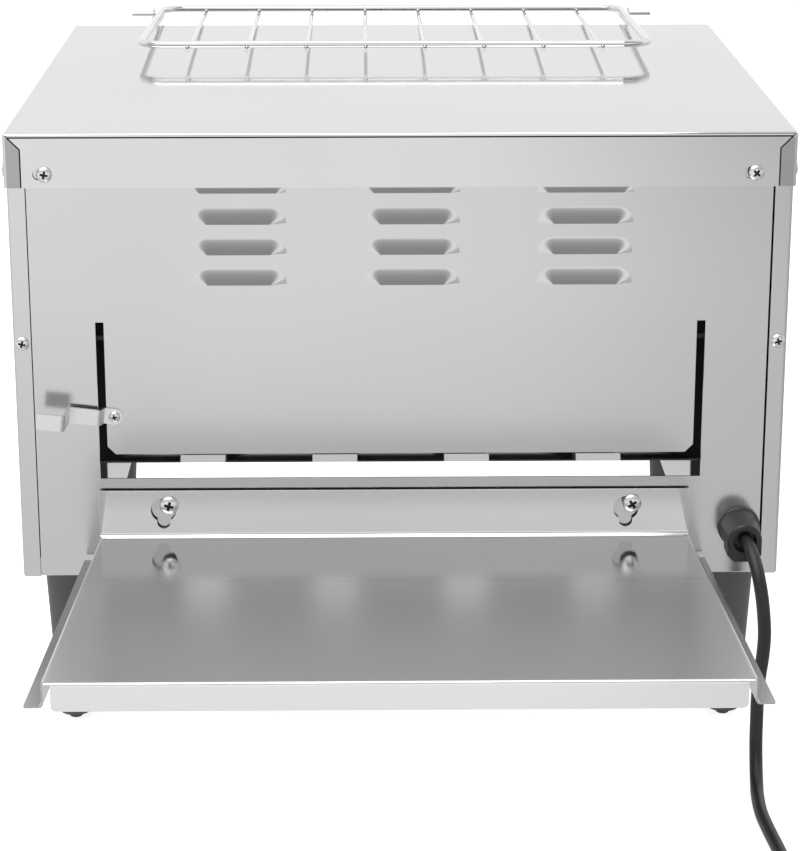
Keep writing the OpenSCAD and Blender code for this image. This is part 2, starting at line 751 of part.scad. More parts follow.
module strip_outline(path) for (k = [0 : len(path) - 1]) {
  translate(path[k]) circle(lever_t / 2);
  if (k > 0) {
    step = path[k] - path[k - 1];
    translate(path[k - 1]) rotate(atan2(step[1], step[0]))
      translate([0, -lever_t / 2]) square([norm(step), lever_t]);
  }
}

module deflector_lever() color("silver") translate([lever_x, deflector_out, lever_z])
  rotate([90, 0, 0]) rotate([0, 0, -lever_tilt]) difference() {
    intersection() {
      translate([0, lever_w, lever_t / 2]) rotate([90, 0, 0])
        linear_extrude(2 * lever_w) strip_outline(lever_path());
      translate([0, 0, -lever_w]) linear_extrude(4 * lever_w) {
        circle(d = lever_w);
        translate([-2 * lever_l, -lever_w / 2]) square([2 * lever_l, lever_w]);
      }
    }
    translate([0, 0, -cut]) cylinder(r = screw_shank_r + fit_gap, h = lever_t + 2 * cut);
  }

module lever_screw() color("silver") translate([lever_x, deflector_out - lever_t, lever_z])
  rotate([90, 0, 0]) pan_screw(lever_screw_r, 2.2, screw_shank_r, lever_t + sheet + 1.5);

// Tray hung on its keyholes: back flange, floor that widens outwards, front lip, sides and rims
module rear_tray() color(steel) translate([-tray_shift, tray_y, 0]) {
  difference() {
    translate([-tray_w / 2, -sheet, tray_z - tray_fold]) cube([tray_w, sheet, tray_back + tray_fold]);
    for (side = [-1, 1]) translate([side * tray_screw_span / 2, cut, keyhole_z]) rotate([90, 0, 0])
      linear_extrude(sheet + 2 * cut) {
        circle(d = keyhole_d);
        translate([0, -keyhole_slot + keyhole_slot_w / 2]) circle(d = keyhole_slot_w);
        translate([-keyhole_slot_w / 2, -keyhole_slot + keyhole_slot_w / 2])
          square([keyhole_slot_w, keyhole_slot - keyhole_slot_w / 2]);
      }
  }
  half = tray_w / 2 + sheet / 2 * tan(tray_angle);
  translate([0, 0, tray_z]) rotate([tray_droop, 0, 0]) {
    translate([0, 0, -sheet]) linear_extrude(sheet)
      polygon([[-half, -sheet / 2], [half, -sheet / 2],
               [tray_flare_w / 2, -tray_floor_l], [-tray_flare_w / 2, -tray_floor_l]]);
    translate([0, -tray_floor_l + sheet, 0]) rotate([90, 0, 0]) linear_extrude(sheet) tray_lip_outline();
    for (side = [-1, 1]) on_side(side) translate([tray_w / 2, 0, 0]) rotate([0, 0, tray_angle]) {
      side_l = (tray_floor_l - 3) / cos(tray_angle);
      translate([-sheet, -side_l, -tray_side]) cube([sheet, side_l - 4, tray_side]);
      translate([-sheet, -side_l, -tray_side]) cube([tray_rim + sheet, side_l - 4, sheet]);
    }
  }
}

module tray_lip_outline() {
  half = tray_flare_w / 2 - tray_lip_inset;
  translate([-half, -sheet]) square([2 * half, sheet]);
  translate([-half, -tray_lip + tray_lip_corner]) square([2 * half, tray_lip - tray_lip_corner]);
  translate([-half + tray_lip_corner, -tray_lip]) square([2 * (half - tray_lip_corner), tray_lip]);
  for (side = [-1, 1])
    translate([side * (half - tray_lip_corner), -tray_lip + tray_lip_corner]) circle(tray_lip_corner);
}

tray_shank = 2 * sheet + tray_gap + move_gap + tray_nut_h + 1.5;

module tray_screws() color("silver") for (side = [-1, 1])
  translate([side * tray_screw_span / 2, tray_y - sheet - move_gap, tray_screw_z])
    rotate([90, 0, 0]) pan_screw(tray_head_r, tray_head_h, tray_screw_r, tray_shank);

module tray_nuts() color("silver") for (side = [-1, 1])
  translate([side * tray_screw_span / 2, rear_inside, tray_screw_z]) rotate([-90, 0, 0]) difference() {
    cylinder(r = tray_nut_r, h = tray_nut_h, $fn = 6);
    translate([0, 0, -cut]) cylinder(r = tray_screw_r + fit_gap, h = tray_nut_h + 2 * cut);
  }

// Rack of welded rod in its own frame: hinge axis along X through the origin, the ring towards -Y
module rack_frame() {
  ring_y = -stub_r;
  half = rack_w / 2;
  bend = half - ring_corner;
  translate([0, ring_y, ring_up]) {
    for (y = [0, -rack_len]) translate([0, y, 0]) rod_x(ring_r, 2 * bend);
    for (side = [-1, 1]) on_side(side) {
      translate([half, -rack_len + ring_corner, 0]) rotate([-90, 0, 0])
        cylinder(r = ring_r, h = rack_len - 2 * ring_corner);
      translate([bend, -ring_corner, 0])
        rotate_extrude(angle = 90) translate([ring_corner, 0]) circle(ring_r);
      translate([bend, -rack_len + ring_corner, 0]) rotate([0, 0, -90])
        rotate_extrude(angle = 90) translate([ring_corner, 0]) circle(ring_r);
    }
  }
  for (k = [0 : bar_count - 1])
    translate([(k - (bar_count - 1) / 2) * rack_w / (bar_count + 0.6), ring_y - rack_len - bar_over, bar_up])
      rotate([-90, 0, 0]) cylinder(r = bar_r, h = rack_len + bar_over + ring_r);
  for (side = [-1, 1]) on_side(side) {
    translate([half, -stub_bend - stub_leg, 0]) rotate([-90, 0, 0]) cylinder(r = stub_r, h = stub_leg);
    translate([half + stub_bend, -stub_bend, 0]) rotate([0, 0, 90])
      rotate_extrude(angle = 90) translate([stub_bend, 0]) circle(stub_r);
    translate([half + stub_bend, 0, 0]) rotate([0, 90, 0])
      cylinder(r = stub_r, h = stub_span / 2 - half - stub_bend);
  }
}

module bread_rack() color("silver") translate([0, pivot_y, pivot_z]) rotate([-rack_tilt, 0, 0]) rack_frame();

// Controls in the right front column

// A skirted knob with a pointer ridge, its back at z = 0 and its blind bore from the back
module knob() {
  skirt_h = 4;
  grip_r = knob_d / 2 - 3.5;
  pointer_w = 3;
  pointer_h = 0.8;
  flute_r = 2.4;
  flute_in = 1.4;
  difference() {
    union() {
      cylinder(d = knob_d, h = skirt_h);
      cylinder(r = grip_r, h = knob_h - pointer_h);
      translate([-pointer_w / 2, 0, skirt_h - cut]) cube([pointer_w, grip_r + 2, knob_h - skirt_h + cut]);
    }
    for (turn = [30 : 30 : 330]) rotate([0, 0, turn])
      translate([0, grip_r + flute_r - flute_in, skirt_h + pointer_h]) cylinder(r = flute_r, h = knob_h);
    translate([0, 0, -cut]) cylinder(d = spindle_d + 2 * fit_gap, h = spindle_in + cut);
    translate([0, 0, -cut]) cylinder(r = neck_r + 2 * move_gap, h = neck_l - sheet + move_gap + cut);
  }
}

module control_knob(drop) color(black)
  translate([column_x, front_face + knob_gap, total_h - drop]) rotate([-90, 180, 0]) knob();

module control_spindle(drop) color("silver")
  translate([column_x, front_inside - control_d / 2, total_h - drop]) rotate([-90, 0, 0])
    cylinder(d = spindle_d, h = control_d / 2 + sheet + knob_gap + spindle_in);

module control_body(drop) color(dark) translate([column_x, front_inside, total_h - drop]) difference() {
  union() {
    translate([-control_across / 2, -control_d, -control_w / 2]) cube([control_across, control_d, control_w]);
    rotate([-90, 0, 0]) cylinder(r = neck_r, h = neck_l);
  }
  translate([0, -control_d / 2 - move_gap, 0]) rotate([-90, 0, 0])
    cylinder(d = spindle_d + 2 * run_gap, h = control_d);
}

module indicator_lamp() color("orangered") translate([column_x, front_face, total_h - lamp_drop])
  rotate([-90, 0, 0]) {
    intersection() {
      cylinder(r = lamp_r, h = lamp_r);
      translate([0, 0, -1]) sphere(lamp_r);
    }
    translate([0, 0, -18]) cylinder(r = lamp_r - 1, h = 18);
  }

module terminal_block() color("ivory") difference() {
  block_room = 5;
  block = [column_w - 2 * block_room, 54, 18];
  block_y = rear_y + leg_inset + 40;
  translate([column_x - block[0] / 2, block_y, leg_h + sheet]) cube(block);
  for (k = [0 : 3], side = [-1, 1])
    translate([column_x + side * block[0] / 4, block_y + 9 + k * 12, leg_h + sheet + 6])
      cylinder(r = 2.5, h = block[2]);
}

// Legs

module leg(x_side, y) color(black) translate([x_side * leg_x, y, 0]) {
  collar_h = 3;
  rotate_extrude() polygon([[0, foot_h], [leg_foot_d / 2, foot_h], [leg_top_d / 2, leg_h - collar_h],
                            [leg_top_d / 2, leg_h], [0, leg_h]]);
  translate([0, 0, leg_h - cut]) cylinder(d = stud_d, h = stud_h + cut);
}

module foot(x_side, y) color(dark) translate([x_side * leg_x, y, 0])
  rotate_extrude() polygon([[0, 0], [foot_tip_r, 0], [foot_r, foot_h], [0, foot_h]]);

leg_rear_y = rear_y + leg_inset;
leg_front_y = front_y - leg_inset;

module leg_nuts() color("silver") for (x_side = [-1, 1], y = [leg_rear_y, leg_front_y])
  translate([x_side * leg_x, y, leg_h + sheet]) difference() {
    cylinder(d = stud_d * 1.9, h = nut_h, $fn = 6);
    translate([0, 0, -cut]) cylinder(d = stud_d + 2 * fit_gap, h = nut_h + 2 * cut);
  }

// Mains lead

// Gland with its tapered sleeve outside and its barrel and nut inside
module cord_gland() color(black) translate([gland_x, rear_face, gland_z]) rotate([90, 0, 0]) {
  tip_r = cord_r + 1.2;
  rotate_extrude() polygon([[0, 0], [gland_flange_r, 0], [gland_flange_r, gland_flange],
    [gland_collar_r, gland_flange], [gland_collar_r, gland_flange + gland_collar],
    [tip_r + 1.6, gland_flange + gland_collar], [tip_r, gland_flange + gland_collar + gland_sleeve],
    [0, gland_flange + gland_collar + gland_sleeve]]);
  translate([0, 0, -sheet - 2 * gland_nut]) cylinder(r = gland_barrel_r, h = sheet + 2 * gland_nut + cut);
  translate([0, 0, -sheet - gland_nut]) cylinder(r = gland_barrel_r + 1.7, h = gland_nut, $fn = 6);
}

function unit(v) = v / norm(v);

// A tube through points: rings square to the path, turned so that none lies along the side direction
module tube(points, ways, r, sides, side) {
  count = len(points);
  rings = [for (i = [0 : count - 1], k = [0 : sides - 1]) let(
    across = unit(cross(side, ways[i])), up = cross(ways[i], across), angle = 360 * k / sides)
    points[i] + r * (cos(angle) * across + sin(angle) * up)];
  walls = [for (i = [0 : count - 2], k = [0 : sides - 1], half = [0, 1]) let(
    a = i * sides + k, b = i * sides + (k + 1) % sides)
    half == 0 ? [a, a + sides, b] : [b, a + sides, b + sides]];
  caps = [for (k = [1 : sides - 2]) [0, k, k + 1],
          for (k = [1 : sides - 2]) let(last = (count - 1) * sides) [last, last + k + 1, last + k]];
  polyhedron(points = rings, faces = concat(walls, caps));
}

// Directions along a path, with the two ends given
function path_ways(points, first, last) = [for (i = [0 : len(points) - 1])
  i == 0 ? first : i == len(points) - 1 ? last : unit(points[i + 1] - points[i - 1])];

// A smooth curve through four neighbouring points, from the second to the third
function curve_at(a, b, c, d, t) =
  0.5 * (2 * b + (c - a) * t + (2 * a - 5 * b + 4 * c - d) * t * t + (3 * b - a - 3 * c + d) * t * t * t);

coil_start = [coil_x + coil_r, rear_y + coil_y + cord_d, coil_z];
cord_knots = concat([[gland_x, gland_tip, gland_z]],
  [for (p = cord_route) [gland_x + p[0], rear_y + p[1], p[2]]], [coil_start]);
cord_last = len(cord_knots) - 1;
cord_points = concat([for (i = [0 : cord_last - 1], t = [0, 0.5])
  curve_at(cord_knots[max(i - 1, 0)], cord_knots[i], cord_knots[i + 1], cord_knots[min(i + 2, cord_last)],
           t)],
  [coil_start]);

module power_cord() color(black)
  tube(cord_points, path_ways(cord_points, [0, -1, 0], [0, -1, 0]), cord_r, 8, [1, 0, 0]);

// The coil spirals in on the table, climbs half a turn where it reverses, and spirals out on top of itself
coil_total = 2 * coil_turns + 0.5;
coil_rings = 24;
function smooth_step(t) = let(s = min(max(t, 0), 1)) s * s * (3 - 2 * s);
function coil_at(t) = let(
  r = coil_r - coil_step * (t < coil_total / 2 ? t : coil_total - t))
  [coil_x + r * cos(-360 * t), rear_y + coil_y + r * sin(-360 * t),
   coil_z + coil_step * smooth_step((t - coil_turns) * 2)];
coil_turned = [for (i = [0 : coil_total * coil_rings]) coil_at(i / coil_rings)];
coil_end = coil_at(coil_total) - [coil_tail, 0, 0];
coil_points = concat([coil_start], coil_turned, [coil_end + [cord_d, 0, 0], coil_end]);
coil_gap = min([for (i = [0 : len(coil_turned) - 1], j = [i + coil_rings / 2 : 1 : len(coil_turned) - 1])
  norm(coil_turned[i] - coil_turned[j])]) - cord_d;
echo(least_gap_in_coil = coil_gap);

module cord_coil() color(black)
  tube(coil_points, path_ways(coil_points, [0, -1, 0], [-1, 0, 0]), cord_r, 6, [0, 0, 1]);

// A flat band round the coil's turns where they lie furthest to the left
module cord_tie() color(black) {
  slack = 0.6;
  out_x = coil_at(0.5)[0] - cord_r - slack;
  in_x = max(coil_at(coil_turns - 0.375)[0], coil_at(coil_turns + 0.625)[0]) + cord_r + 2 * slack;
  top_z = coil_z + coil_step + cord_r + move_gap;
  translate([0, rear_y + coil_y + tie_w / 2, 0]) rotate([90, 0, 0]) linear_extrude(tie_w) difference() {
    translate([out_x - tie_t, 0]) square([in_x - out_x + 2 * tie_t, top_z + tie_t]);
    translate([out_x, tie_t]) square([in_x - out_x, top_z - tie_t]);
  }
}

// A moulded plug that lies beside the coil: tapered sleeve, waisted body and two round pins
module power_plug() color(black) translate(coil_end) rotate([0, -90, 0]) {
  sleeve_l = 16;
  body_h = 2 * coil_end[2];
  corner = 7;
  rotate_extrude() polygon([[0, 0], [cord_r + 1.2, 0], [cord_r + 3, sleeve_l], [0, sleeve_l]]);
  translate([-body_h / 2, 0, sleeve_l]) rotate([0, 90, 0]) rotate([0, 0, 180]) linear_extrude(body_h) {
    translate([0, -plug_w / 2 + corner]) square([plug_l, plug_w - 2 * corner]);
    translate([corner, -plug_w / 2]) square([plug_l - corner, plug_w]);
    for (s = [-1, 1]) translate([corner, s * (plug_w / 2 - corner)]) circle(corner);
  }
  for (s = [-1, 1]) translate([0, s * plug_pin_gap / 2, sleeve_l + plug_l - cut])
    cylinder(r = plug_pin_r, h = plug_pin_l + cut);
}

top_cover();
side_panel(-1);  // side_panel_left
side_panel(1);  // side_panel_right
rear_panel();
front_panel();
inner_wall(-1);  // inner_wall_left
inner_wall(1);  // inner_wall_right
base_plate(-1);  // base_plate_left
base_plate(1);  // base_plate_right
cover_screws();
panel_screws();
upper_reflector();
lower_reflector();
toast_chute();
upper_heaters();
lower_heaters();
heater_ends();
drive_shaft();
drive_sprockets();
idler_shaft();
idler_sprockets();
shaft_bushes();
belt_rods();
belt_links();
gear_motor();
deflector_plate();
deflector_rod();
deflector_lever();
lever_screw();
rear_tray();
tray_screws();
tray_nuts();
bread_rack();
control_knob(heat_knob_drop);  // heat_knob
control_spindle(heat_knob_drop);  // heat_spindle
control_body(heat_knob_drop);  // selector_switch
control_knob(speed_knob_drop);  // speed_knob
control_spindle(speed_knob_drop);  // speed_spindle
control_body(speed_knob_drop);  // speed_control
indicator_lamp();
terminal_block();
leg(-1, leg_rear_y);  // leg_rear_left
leg(1, leg_rear_y);  // leg_rear_right
leg(-1, leg_front_y);  // leg_front_left
leg(1, leg_front_y);  // leg_front_right
foot(-1, leg_rear_y);  // foot_rear_left
foot(1, leg_rear_y);  // foot_rear_right
foot(-1, leg_front_y);  // foot_front_left
foot(1, leg_front_y);  // foot_front_right
leg_nuts();
cord_gland();
power_cord();
cord_coil();
cord_tie();
power_plug();
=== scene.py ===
# %% [markdown]
# # A conveyor toaster, seen from its rear
# The toaster is a folded sheet-metal casing on four legs. Bread rides through it on a belt of rods, and
# the toast drops onto a slide that leads to the tray at the rear. This lesson loads the finished CAD
# model as a fixed frame, and then dresses it: each sheet gets its bends, each finish gets its grain, and
# the mains lead becomes a real cord. All sizes are in metres, in the frame of the CAD model.

# %% Load the frame
import json
import math
import bmesh
import bpy
from mathutils import Euler, Matrix, Vector


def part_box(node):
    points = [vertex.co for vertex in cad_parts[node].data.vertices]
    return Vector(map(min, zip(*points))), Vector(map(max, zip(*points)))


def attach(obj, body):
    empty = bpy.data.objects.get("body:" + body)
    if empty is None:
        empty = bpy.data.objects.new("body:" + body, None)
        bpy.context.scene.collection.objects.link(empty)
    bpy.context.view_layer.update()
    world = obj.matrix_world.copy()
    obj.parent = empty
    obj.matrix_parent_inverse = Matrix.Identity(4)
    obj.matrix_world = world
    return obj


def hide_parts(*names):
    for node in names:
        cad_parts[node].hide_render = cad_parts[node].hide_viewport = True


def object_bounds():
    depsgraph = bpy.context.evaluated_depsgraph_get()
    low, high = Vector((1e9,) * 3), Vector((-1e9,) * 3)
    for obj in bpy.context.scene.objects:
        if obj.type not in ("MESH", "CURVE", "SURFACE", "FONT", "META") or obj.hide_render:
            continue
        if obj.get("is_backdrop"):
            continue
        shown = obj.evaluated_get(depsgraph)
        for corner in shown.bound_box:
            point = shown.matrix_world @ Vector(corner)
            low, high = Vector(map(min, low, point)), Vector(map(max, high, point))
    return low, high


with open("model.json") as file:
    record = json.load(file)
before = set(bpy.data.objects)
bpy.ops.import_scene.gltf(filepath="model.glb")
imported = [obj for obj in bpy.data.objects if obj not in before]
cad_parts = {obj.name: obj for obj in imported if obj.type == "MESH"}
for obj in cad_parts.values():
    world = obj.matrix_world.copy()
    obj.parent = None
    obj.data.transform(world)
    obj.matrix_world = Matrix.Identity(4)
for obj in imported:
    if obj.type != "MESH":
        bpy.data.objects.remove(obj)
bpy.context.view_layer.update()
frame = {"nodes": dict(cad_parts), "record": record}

MM = 0.001
bpy.ops.object.select_all(action="DESELECT")

# %% [markdown]
# ## Camera
# The picture was taken with a long lens from behind the machine, a little above it. A long lens keeps
# the two sides of the casing almost parallel, so the place is measured from one sharp edge of the object,
# the top rear edge of the cover, and not from its middle.

# %% Camera at the picture's viewing angle
FROM_EDGE = Vector((-22.8, -1536.8, 296.0))
LOOK_DOWN, LOOK_RIGHT = 17.2, 0.831
LENS_LENGTH, SENSOR_SIZE = 112.16, 36
cover_low, cover_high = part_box("top_cover")
cover_edge = Vector((0, cover_low.y, cover_high.z))
camera = bpy.data.objects.new("camera", bpy.data.cameras.new("camera"))
bpy.context.scene.collection.objects.link(camera)
camera.location = cover_edge + FROM_EDGE * MM
camera.rotation_euler = Euler((math.radians(90 - LOOK_DOWN), 0, math.radians(-LOOK_RIGHT)))
camera.data.lens = LENS_LENGTH
camera.data.sensor_width = SENSOR_SIZE
bpy.context.scene.camera = camera
print("camera at", tuple(camera.location))

# %% [markdown]
# ## Mains lead
# The lead leaves its gland at the lower right, droops to the table and runs out of the picture. The rest
# is wound up and tied, as for storage. A cord is best drawn as one curve with a round bevel: the curve is
# the cord's own centre line, so its length and its bends can be measured. The points are those of the CAD
# route. The coil is a spiral that winds in on the table, climbs, and winds out on top of itself.

# %% Mains lead as one curve
rear_y = cover_low.y
CORD_D = 8 * MM
gland_tip = (208.6, -21.5, 141)
lead_route = [
    (209, -25.5, 141), (210.6, -38.5, 138.4), (212.6, -49.5, 131), (214.4, -56.9, 120),
    (216, -59.5, 107), (217, -60, 93), (216.4, -60, 79), (215, -60, 66), (214.3, -60.6, 53),
    (214.1, -62, 41.1), (213.8, -64.7, 27.3), (213.2, -72.5, 15.6), (212.2, -84.2, 7.8),
    (211, -98, 5.1), (210, -120, 5.1), (211, -142, 5.1), (212.8, -166, 5.1), (214.2, -190, 5.1),
    (214.5, -215, 5.1), (214.5, -240, 5.1)]
COIL_X, COIL_Y, COIL_R, COIL_Z = 162.5, -258, 52, 5.1
COIL_STEP = 8.8
COIL_TURNS = 4.25
CLIMB_START, CLIMB_RATE = 1.875, 2
POINTS_A_TURN = 16


def coil_point(turn):
    """Where the coil's centre line is after so many turns, in mm behind the cover's rear edge."""
    inwards = min(turn, COIL_TURNS - turn)
    radius = COIL_R - COIL_STEP * inwards
    angle = -2 * math.pi * turn
    climb = min(max((turn - CLIMB_START) * CLIMB_RATE, 0), 1)
    height = COIL_Z + COIL_STEP * climb * climb * (3 - 2 * climb)
    return (COIL_X + radius * math.cos(angle), COIL_Y + radius * math.sin(angle), height)


coil = [coil_point(i / POINTS_A_TURN) for i in range(int(COIL_TURNS * POINTS_A_TURN) + 1)]
tail = [(coil[-1][0] - step, *coil[-1][1:]) for step in (16, 31, 46)]
lead_points = [Vector((x, y, z)) * MM + Vector((0, rear_y, 0))
               for x, y, z in [gland_tip] + lead_route + coil + tail]
lead_curve = bpy.data.curves.new("mains_lead", "CURVE")
lead_curve.dimensions = "3D"
lead_curve.bevel_depth = 1
lead_curve.bevel_resolution = 6
lead_curve.resolution_u = 6
lead_curve.use_fill_caps = True
spline = lead_curve.splines.new("BEZIER")
spline.bezier_points.add(len(lead_points) - 1)
before = [lead_points[0]] + lead_points[:-1]
after = lead_points[1:] + [lead_points[-1]]
for knot, place, last, coming in zip(spline.bezier_points, lead_points, before, after):
    knot.handle_left_type = "FREE"
    knot.handle_right_type = "FREE"
    knot.co = place
    knot.radius = CORD_D / 2
    knot.handle_left = place - (coming - last) / 6
    knot.handle_right = place + (coming - last) / 6
mains_lead = bpy.data.objects.new("mains_lead", lead_curve)
bpy.context.scene.collection.objects.link(mains_lead)
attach(mains_lead, "case")
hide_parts("power_cord", "cord_coil")
bpy.context.view_layer.update()

# %% [markdown]
# ## Colours and nodes
# Colours are written as sRGB hex codes, as a paint chart gives them, and turned to the linear numbers that
# a shader adds up. One small function adds a shader node with its settings and its links, so that a finish
# reads as a list of what it is made of.

# %% Colour and node helpers


def linear(code):
    """A colour written as #rrggbb, in the linear numbers that a shader takes."""
    parts = [int(code[i:i + 2], 16) / 255 for i in (1, 3, 5)]
    return [c / 12.92 if c <= 0.04045 else ((c + 0.055) / 1.055) ** 2.4 for c in parts] + [1.0]


def add_node(tree, kind, sockets=None, **settings):
    """Adds a node: settings are its own choices, sockets its inputs by name or number."""
    made = tree.nodes.new(kind)
    for name, value in settings.items():
        setattr(made, name, value)
    for name, value in (sockets or {}).items():
        if isinstance(value, bpy.types.NodeSocket):
            tree.links.new(value, made.inputs[name])
        else:
            made.inputs[name].default_value = value
    return made


def new_material(name, sockets, build=None):
    """A material with one Principled shader; build returns the sockets that a pattern drives."""
    material = bpy.data.materials.new(name)
    material.use_nodes = True
    tree = material.node_tree
    shader = tree.nodes["Principled BSDF"]
    driven = build(tree) if build else {}
    for key, value in {**sockets, **driven}.items():
        if isinstance(value, bpy.types.NodeSocket):
            tree.links.new(value, shader.inputs[key])
        else:
            shader.inputs[key].default_value = value
    return material


# %% [markdown]
# ## Sheet metal
# The casing is stainless sheet with a satin rolled finish. It mirrors its surroundings softly, and fine
# lines run along the sheet from the rolling. Two noises do it: a very long, thin one for the lines, which
# drives the roughness and a slight bump, and a broad one that lets the tone drift by a shade, as a large
# sheet does. Sheets are laid in the press in two ways, so there is one finish for lines along X and one
# for lines along Y.

# %% Satin stainless finishes
LINE_WIDTH = 0.7 * MM
LINE_LENGTH = 80
DRIFT_SIZE = 140 * MM


def satin_sheet(along, dark, light, smooth, rough):
    """The nodes of a rolled sheet whose lines run along an axis; returns what they drive."""
    def build(tree):
        place = add_node(tree, "ShaderNodeTexCoord").outputs["Object"]
        stretch = [1 / LINE_LENGTH if axis == along else 1 for axis in "XYZ"]
        lined = add_node(tree, "ShaderNodeMapping", {"Vector": place, "Scale": stretch})
        lines = add_node(tree, "ShaderNodeTexNoise",
                         {"Vector": lined.outputs[0], "Scale": 1 / LINE_WIDTH, "Detail": 3})
        drift = add_node(tree, "ShaderNodeTexNoise",
                         {"Vector": place, "Scale": 1 / DRIFT_SIZE, "Detail": 1})
        tone = add_node(tree, "ShaderNodeMix",
                        {"Factor": drift.outputs["Fac"], "A": linear(dark), "B": linear(light)},
                        data_type="RGBA")
        gloss = add_node(tree, "ShaderNodeMapRange",
                         {"Value": lines.outputs["Fac"], "To Min": smooth, "To Max": rough})
        relief = add_node(tree, "ShaderNodeBump",
                          {"Height": lines.outputs["Fac"], "Strength": 0.06, "Distance": 0.02 * MM})
        return {"Base Color": tone.outputs["Result"], "Roughness": gloss.outputs["Result"],
                "Normal": relief.outputs["Normal"]}
    return build


# Casing front and rear: a soft mirror with fine lines from side to side.
stainless_along_x = new_material(
    "satin_stainless_along_x", {"Metallic": 1.0}, satin_sheet("X", "#cacaca", "#d3d3d3", 0.13, 0.2))
# Casing sides: the same mirror with lines from rear to front.
stainless_along_y = new_material(
    "satin_stainless_along_y", {"Metallic": 1.0}, satin_sheet("Y", "#cacaca", "#d3d3d3", 0.13, 0.2))
# Cover: a clearer mirror, so that its top is almost white.
bright_stainless = new_material(
    "bright_rolled_stainless", {"Metallic": 1.0}, satin_sheet("X", "#d0d0d0", "#d7d7d7", 0.05, 0.09))
# Corner tabs: a dull grey from the grinding disc.
ground_stainless = new_material(
    "ground_stainless_corner", {"Metallic": 1.0}, satin_sheet("Z", "#a2a2a2", "#b0b0b0", 0.25, 0.4))
# Reflectors: a blurred, slightly grey shine.
aluminised_sheet = new_material(
    "aluminised_steel_inside", {"Metallic": 1.0}, satin_sheet("X", "#b6b6b6", "#c6c6c6", 0.3, 0.45))

# %% [markdown]
# ## Sheets that use has marked, and painted shade
# The tray is polished where nothing touches it, close to its back fold, and duller further out, where toast
# slides. The slide under the belt is bright on its four ribs, with black painted shade between them. The
# inner walls get black painted shade, but stay clean low down, under the slide. Both are plain metal at the
# front. Each
# is a mask over place: a ramp between two levels picks between two looks.

# %% Worn sheets and painted shade


def ramp(tree, value, low, high, start=0.0, end=1.0):
    """A number that goes from start to end while value goes from low to high."""
    return add_node(tree, "ShaderNodeMapRange", {
        "Value": value, "From Min": low, "From Max": high, "To Min": start, "To Max": end}).outputs["Result"]


def place_of(tree):
    """The X, Y and Z of the place that is shaded."""
    place = add_node(tree, "ShaderNodeTexCoord").outputs["Object"]
    return add_node(tree, "ShaderNodeSeparateXYZ", {"Vector": place}).outputs


def polished_near_fold(tree):
    """A bright sheet that toast has dulled away from the back fold."""
    sheet = satin_sheet("X", "#dadada", "#e0e0e0", 0.06, 0.1)(tree)
    worn = ramp(tree, place_of(tree)["Y"], rear_y - 85 * MM, rear_y - 45 * MM, 0.24, 0.0)
    dull = add_node(tree, "ShaderNodeMath", {0: sheet["Roughness"], 1: worn}, operation="ADD")
    return {**sheet, "Roughness": dull.outputs[0]}


def painted_shade_over(mask_of):
    """A bright sheet with black painted shade over it where the mask is 1."""
    def build(tree):
        sheet = satin_sheet("Y", "#c2c2c2", "#cfcfcf", 0.2, 0.3)(tree)
        mask = mask_of(tree)
        # Where the mask is 1 the sheet turns black and matt: painted shade.
        tone = add_node(tree, "ShaderNodeMix", {
            "Factor": mask, "A": sheet["Base Color"], "B": linear("#3b3a38")}, data_type="RGBA")
        return {**sheet, "Base Color": tone.outputs["Result"],
                "Roughness": ramp(tree, mask, 0, 1, 0.25, 0.8),
                "Metallic": ramp(tree, mask, 0, 1, 1, 0),
                "Specular IOR Level": ramp(tree, mask, 0, 1, 0.5, 0.1)}
    return build


def kept_inside(tree, mask, low, high):
    """A mask that fades out between two depths, so that the painted shade stays deep inside and the front is
    plain metal.
    """
    kept = ramp(tree, place_of(tree)["Y"], rear_y + low * MM, rear_y + high * MM, 1, 0)
    return add_node(tree, "ShaderNodeMath", {0: mask, 1: kept}, operation="MULTIPLY").outputs[0]


def wall_painted_shade(tree):
    """Painted shade above the slide, and all the way down beside the rear outlet."""
    place = place_of(tree)
    above = ramp(tree, place["Z"], 168 * MM, 184 * MM)
    beside = ramp(tree, place["Y"], rear_y + 66 * MM, rear_y + 58 * MM)
    either = add_node(tree, "ShaderNodeMath", {0: above, 1: beside}, operation="MAXIMUM")
    return kept_inside(tree, either.outputs[0], 370, 412)


def slide_painted_shade(tree):
    """Painted shade between the ribs, whose middles lie one half spacing from the centre and on, and deep
    inside.
    """
    half = RIB_SPACING / 2
    across = add_node(tree, "ShaderNodeMath", {0: place_of(tree)["X"], 1: half}, operation="PINGPONG")
    between = ramp(tree, across.outputs[0], half - RIB_HALF, half - RIB_HALF - 0.5 * MM)
    inside = ramp(tree, place_of(tree)["Y"], rear_y + 18 * MM, rear_y + 30 * MM)
    either = add_node(tree, "ShaderNodeMath", {0: between, 1: inside}, operation="MAXIMUM")
    return kept_inside(tree, either.outputs[0], 150, 330)


RIB_SPACING, RIB_HALF = 80.4 * MM, 13.4 * MM
# The tray: a clear mirror at the back that blurs towards the front.
tray_stainless = new_material("polished_tray_stainless", {"Metallic": 1.0}, polished_near_fold)
# The tray's walls and rims: painted shade, greyer than its floor.
rim_painted_shade = new_material(
    "tray_rim_painted_shade", {"Metallic": 1.0}, satin_sheet("Y", "#b6b6b6", "#c0c0c0", 0.2, 0.3))
# The tray's front lip: a painted highlight, a bright even band.
lip_painted_highlight = new_material(
    "tray_lip_painted_highlight", {"Metallic": 1.0}, satin_sheet("X", "#eaeaea", "#f0f0f0", 0.24, 0.3))
# Inner walls: black painted shade beside the belt, clean metal under the slide.
inner_wall_sheet = new_material("wall_steel_painted_shade", {}, painted_shade_over(wall_painted_shade))
# Slide: bright ribs on black painted shade at the rear, clean metal at the front.
chute_sheet = new_material("slide_steel_painted_shade", {}, painted_shade_over(slide_painted_shade))
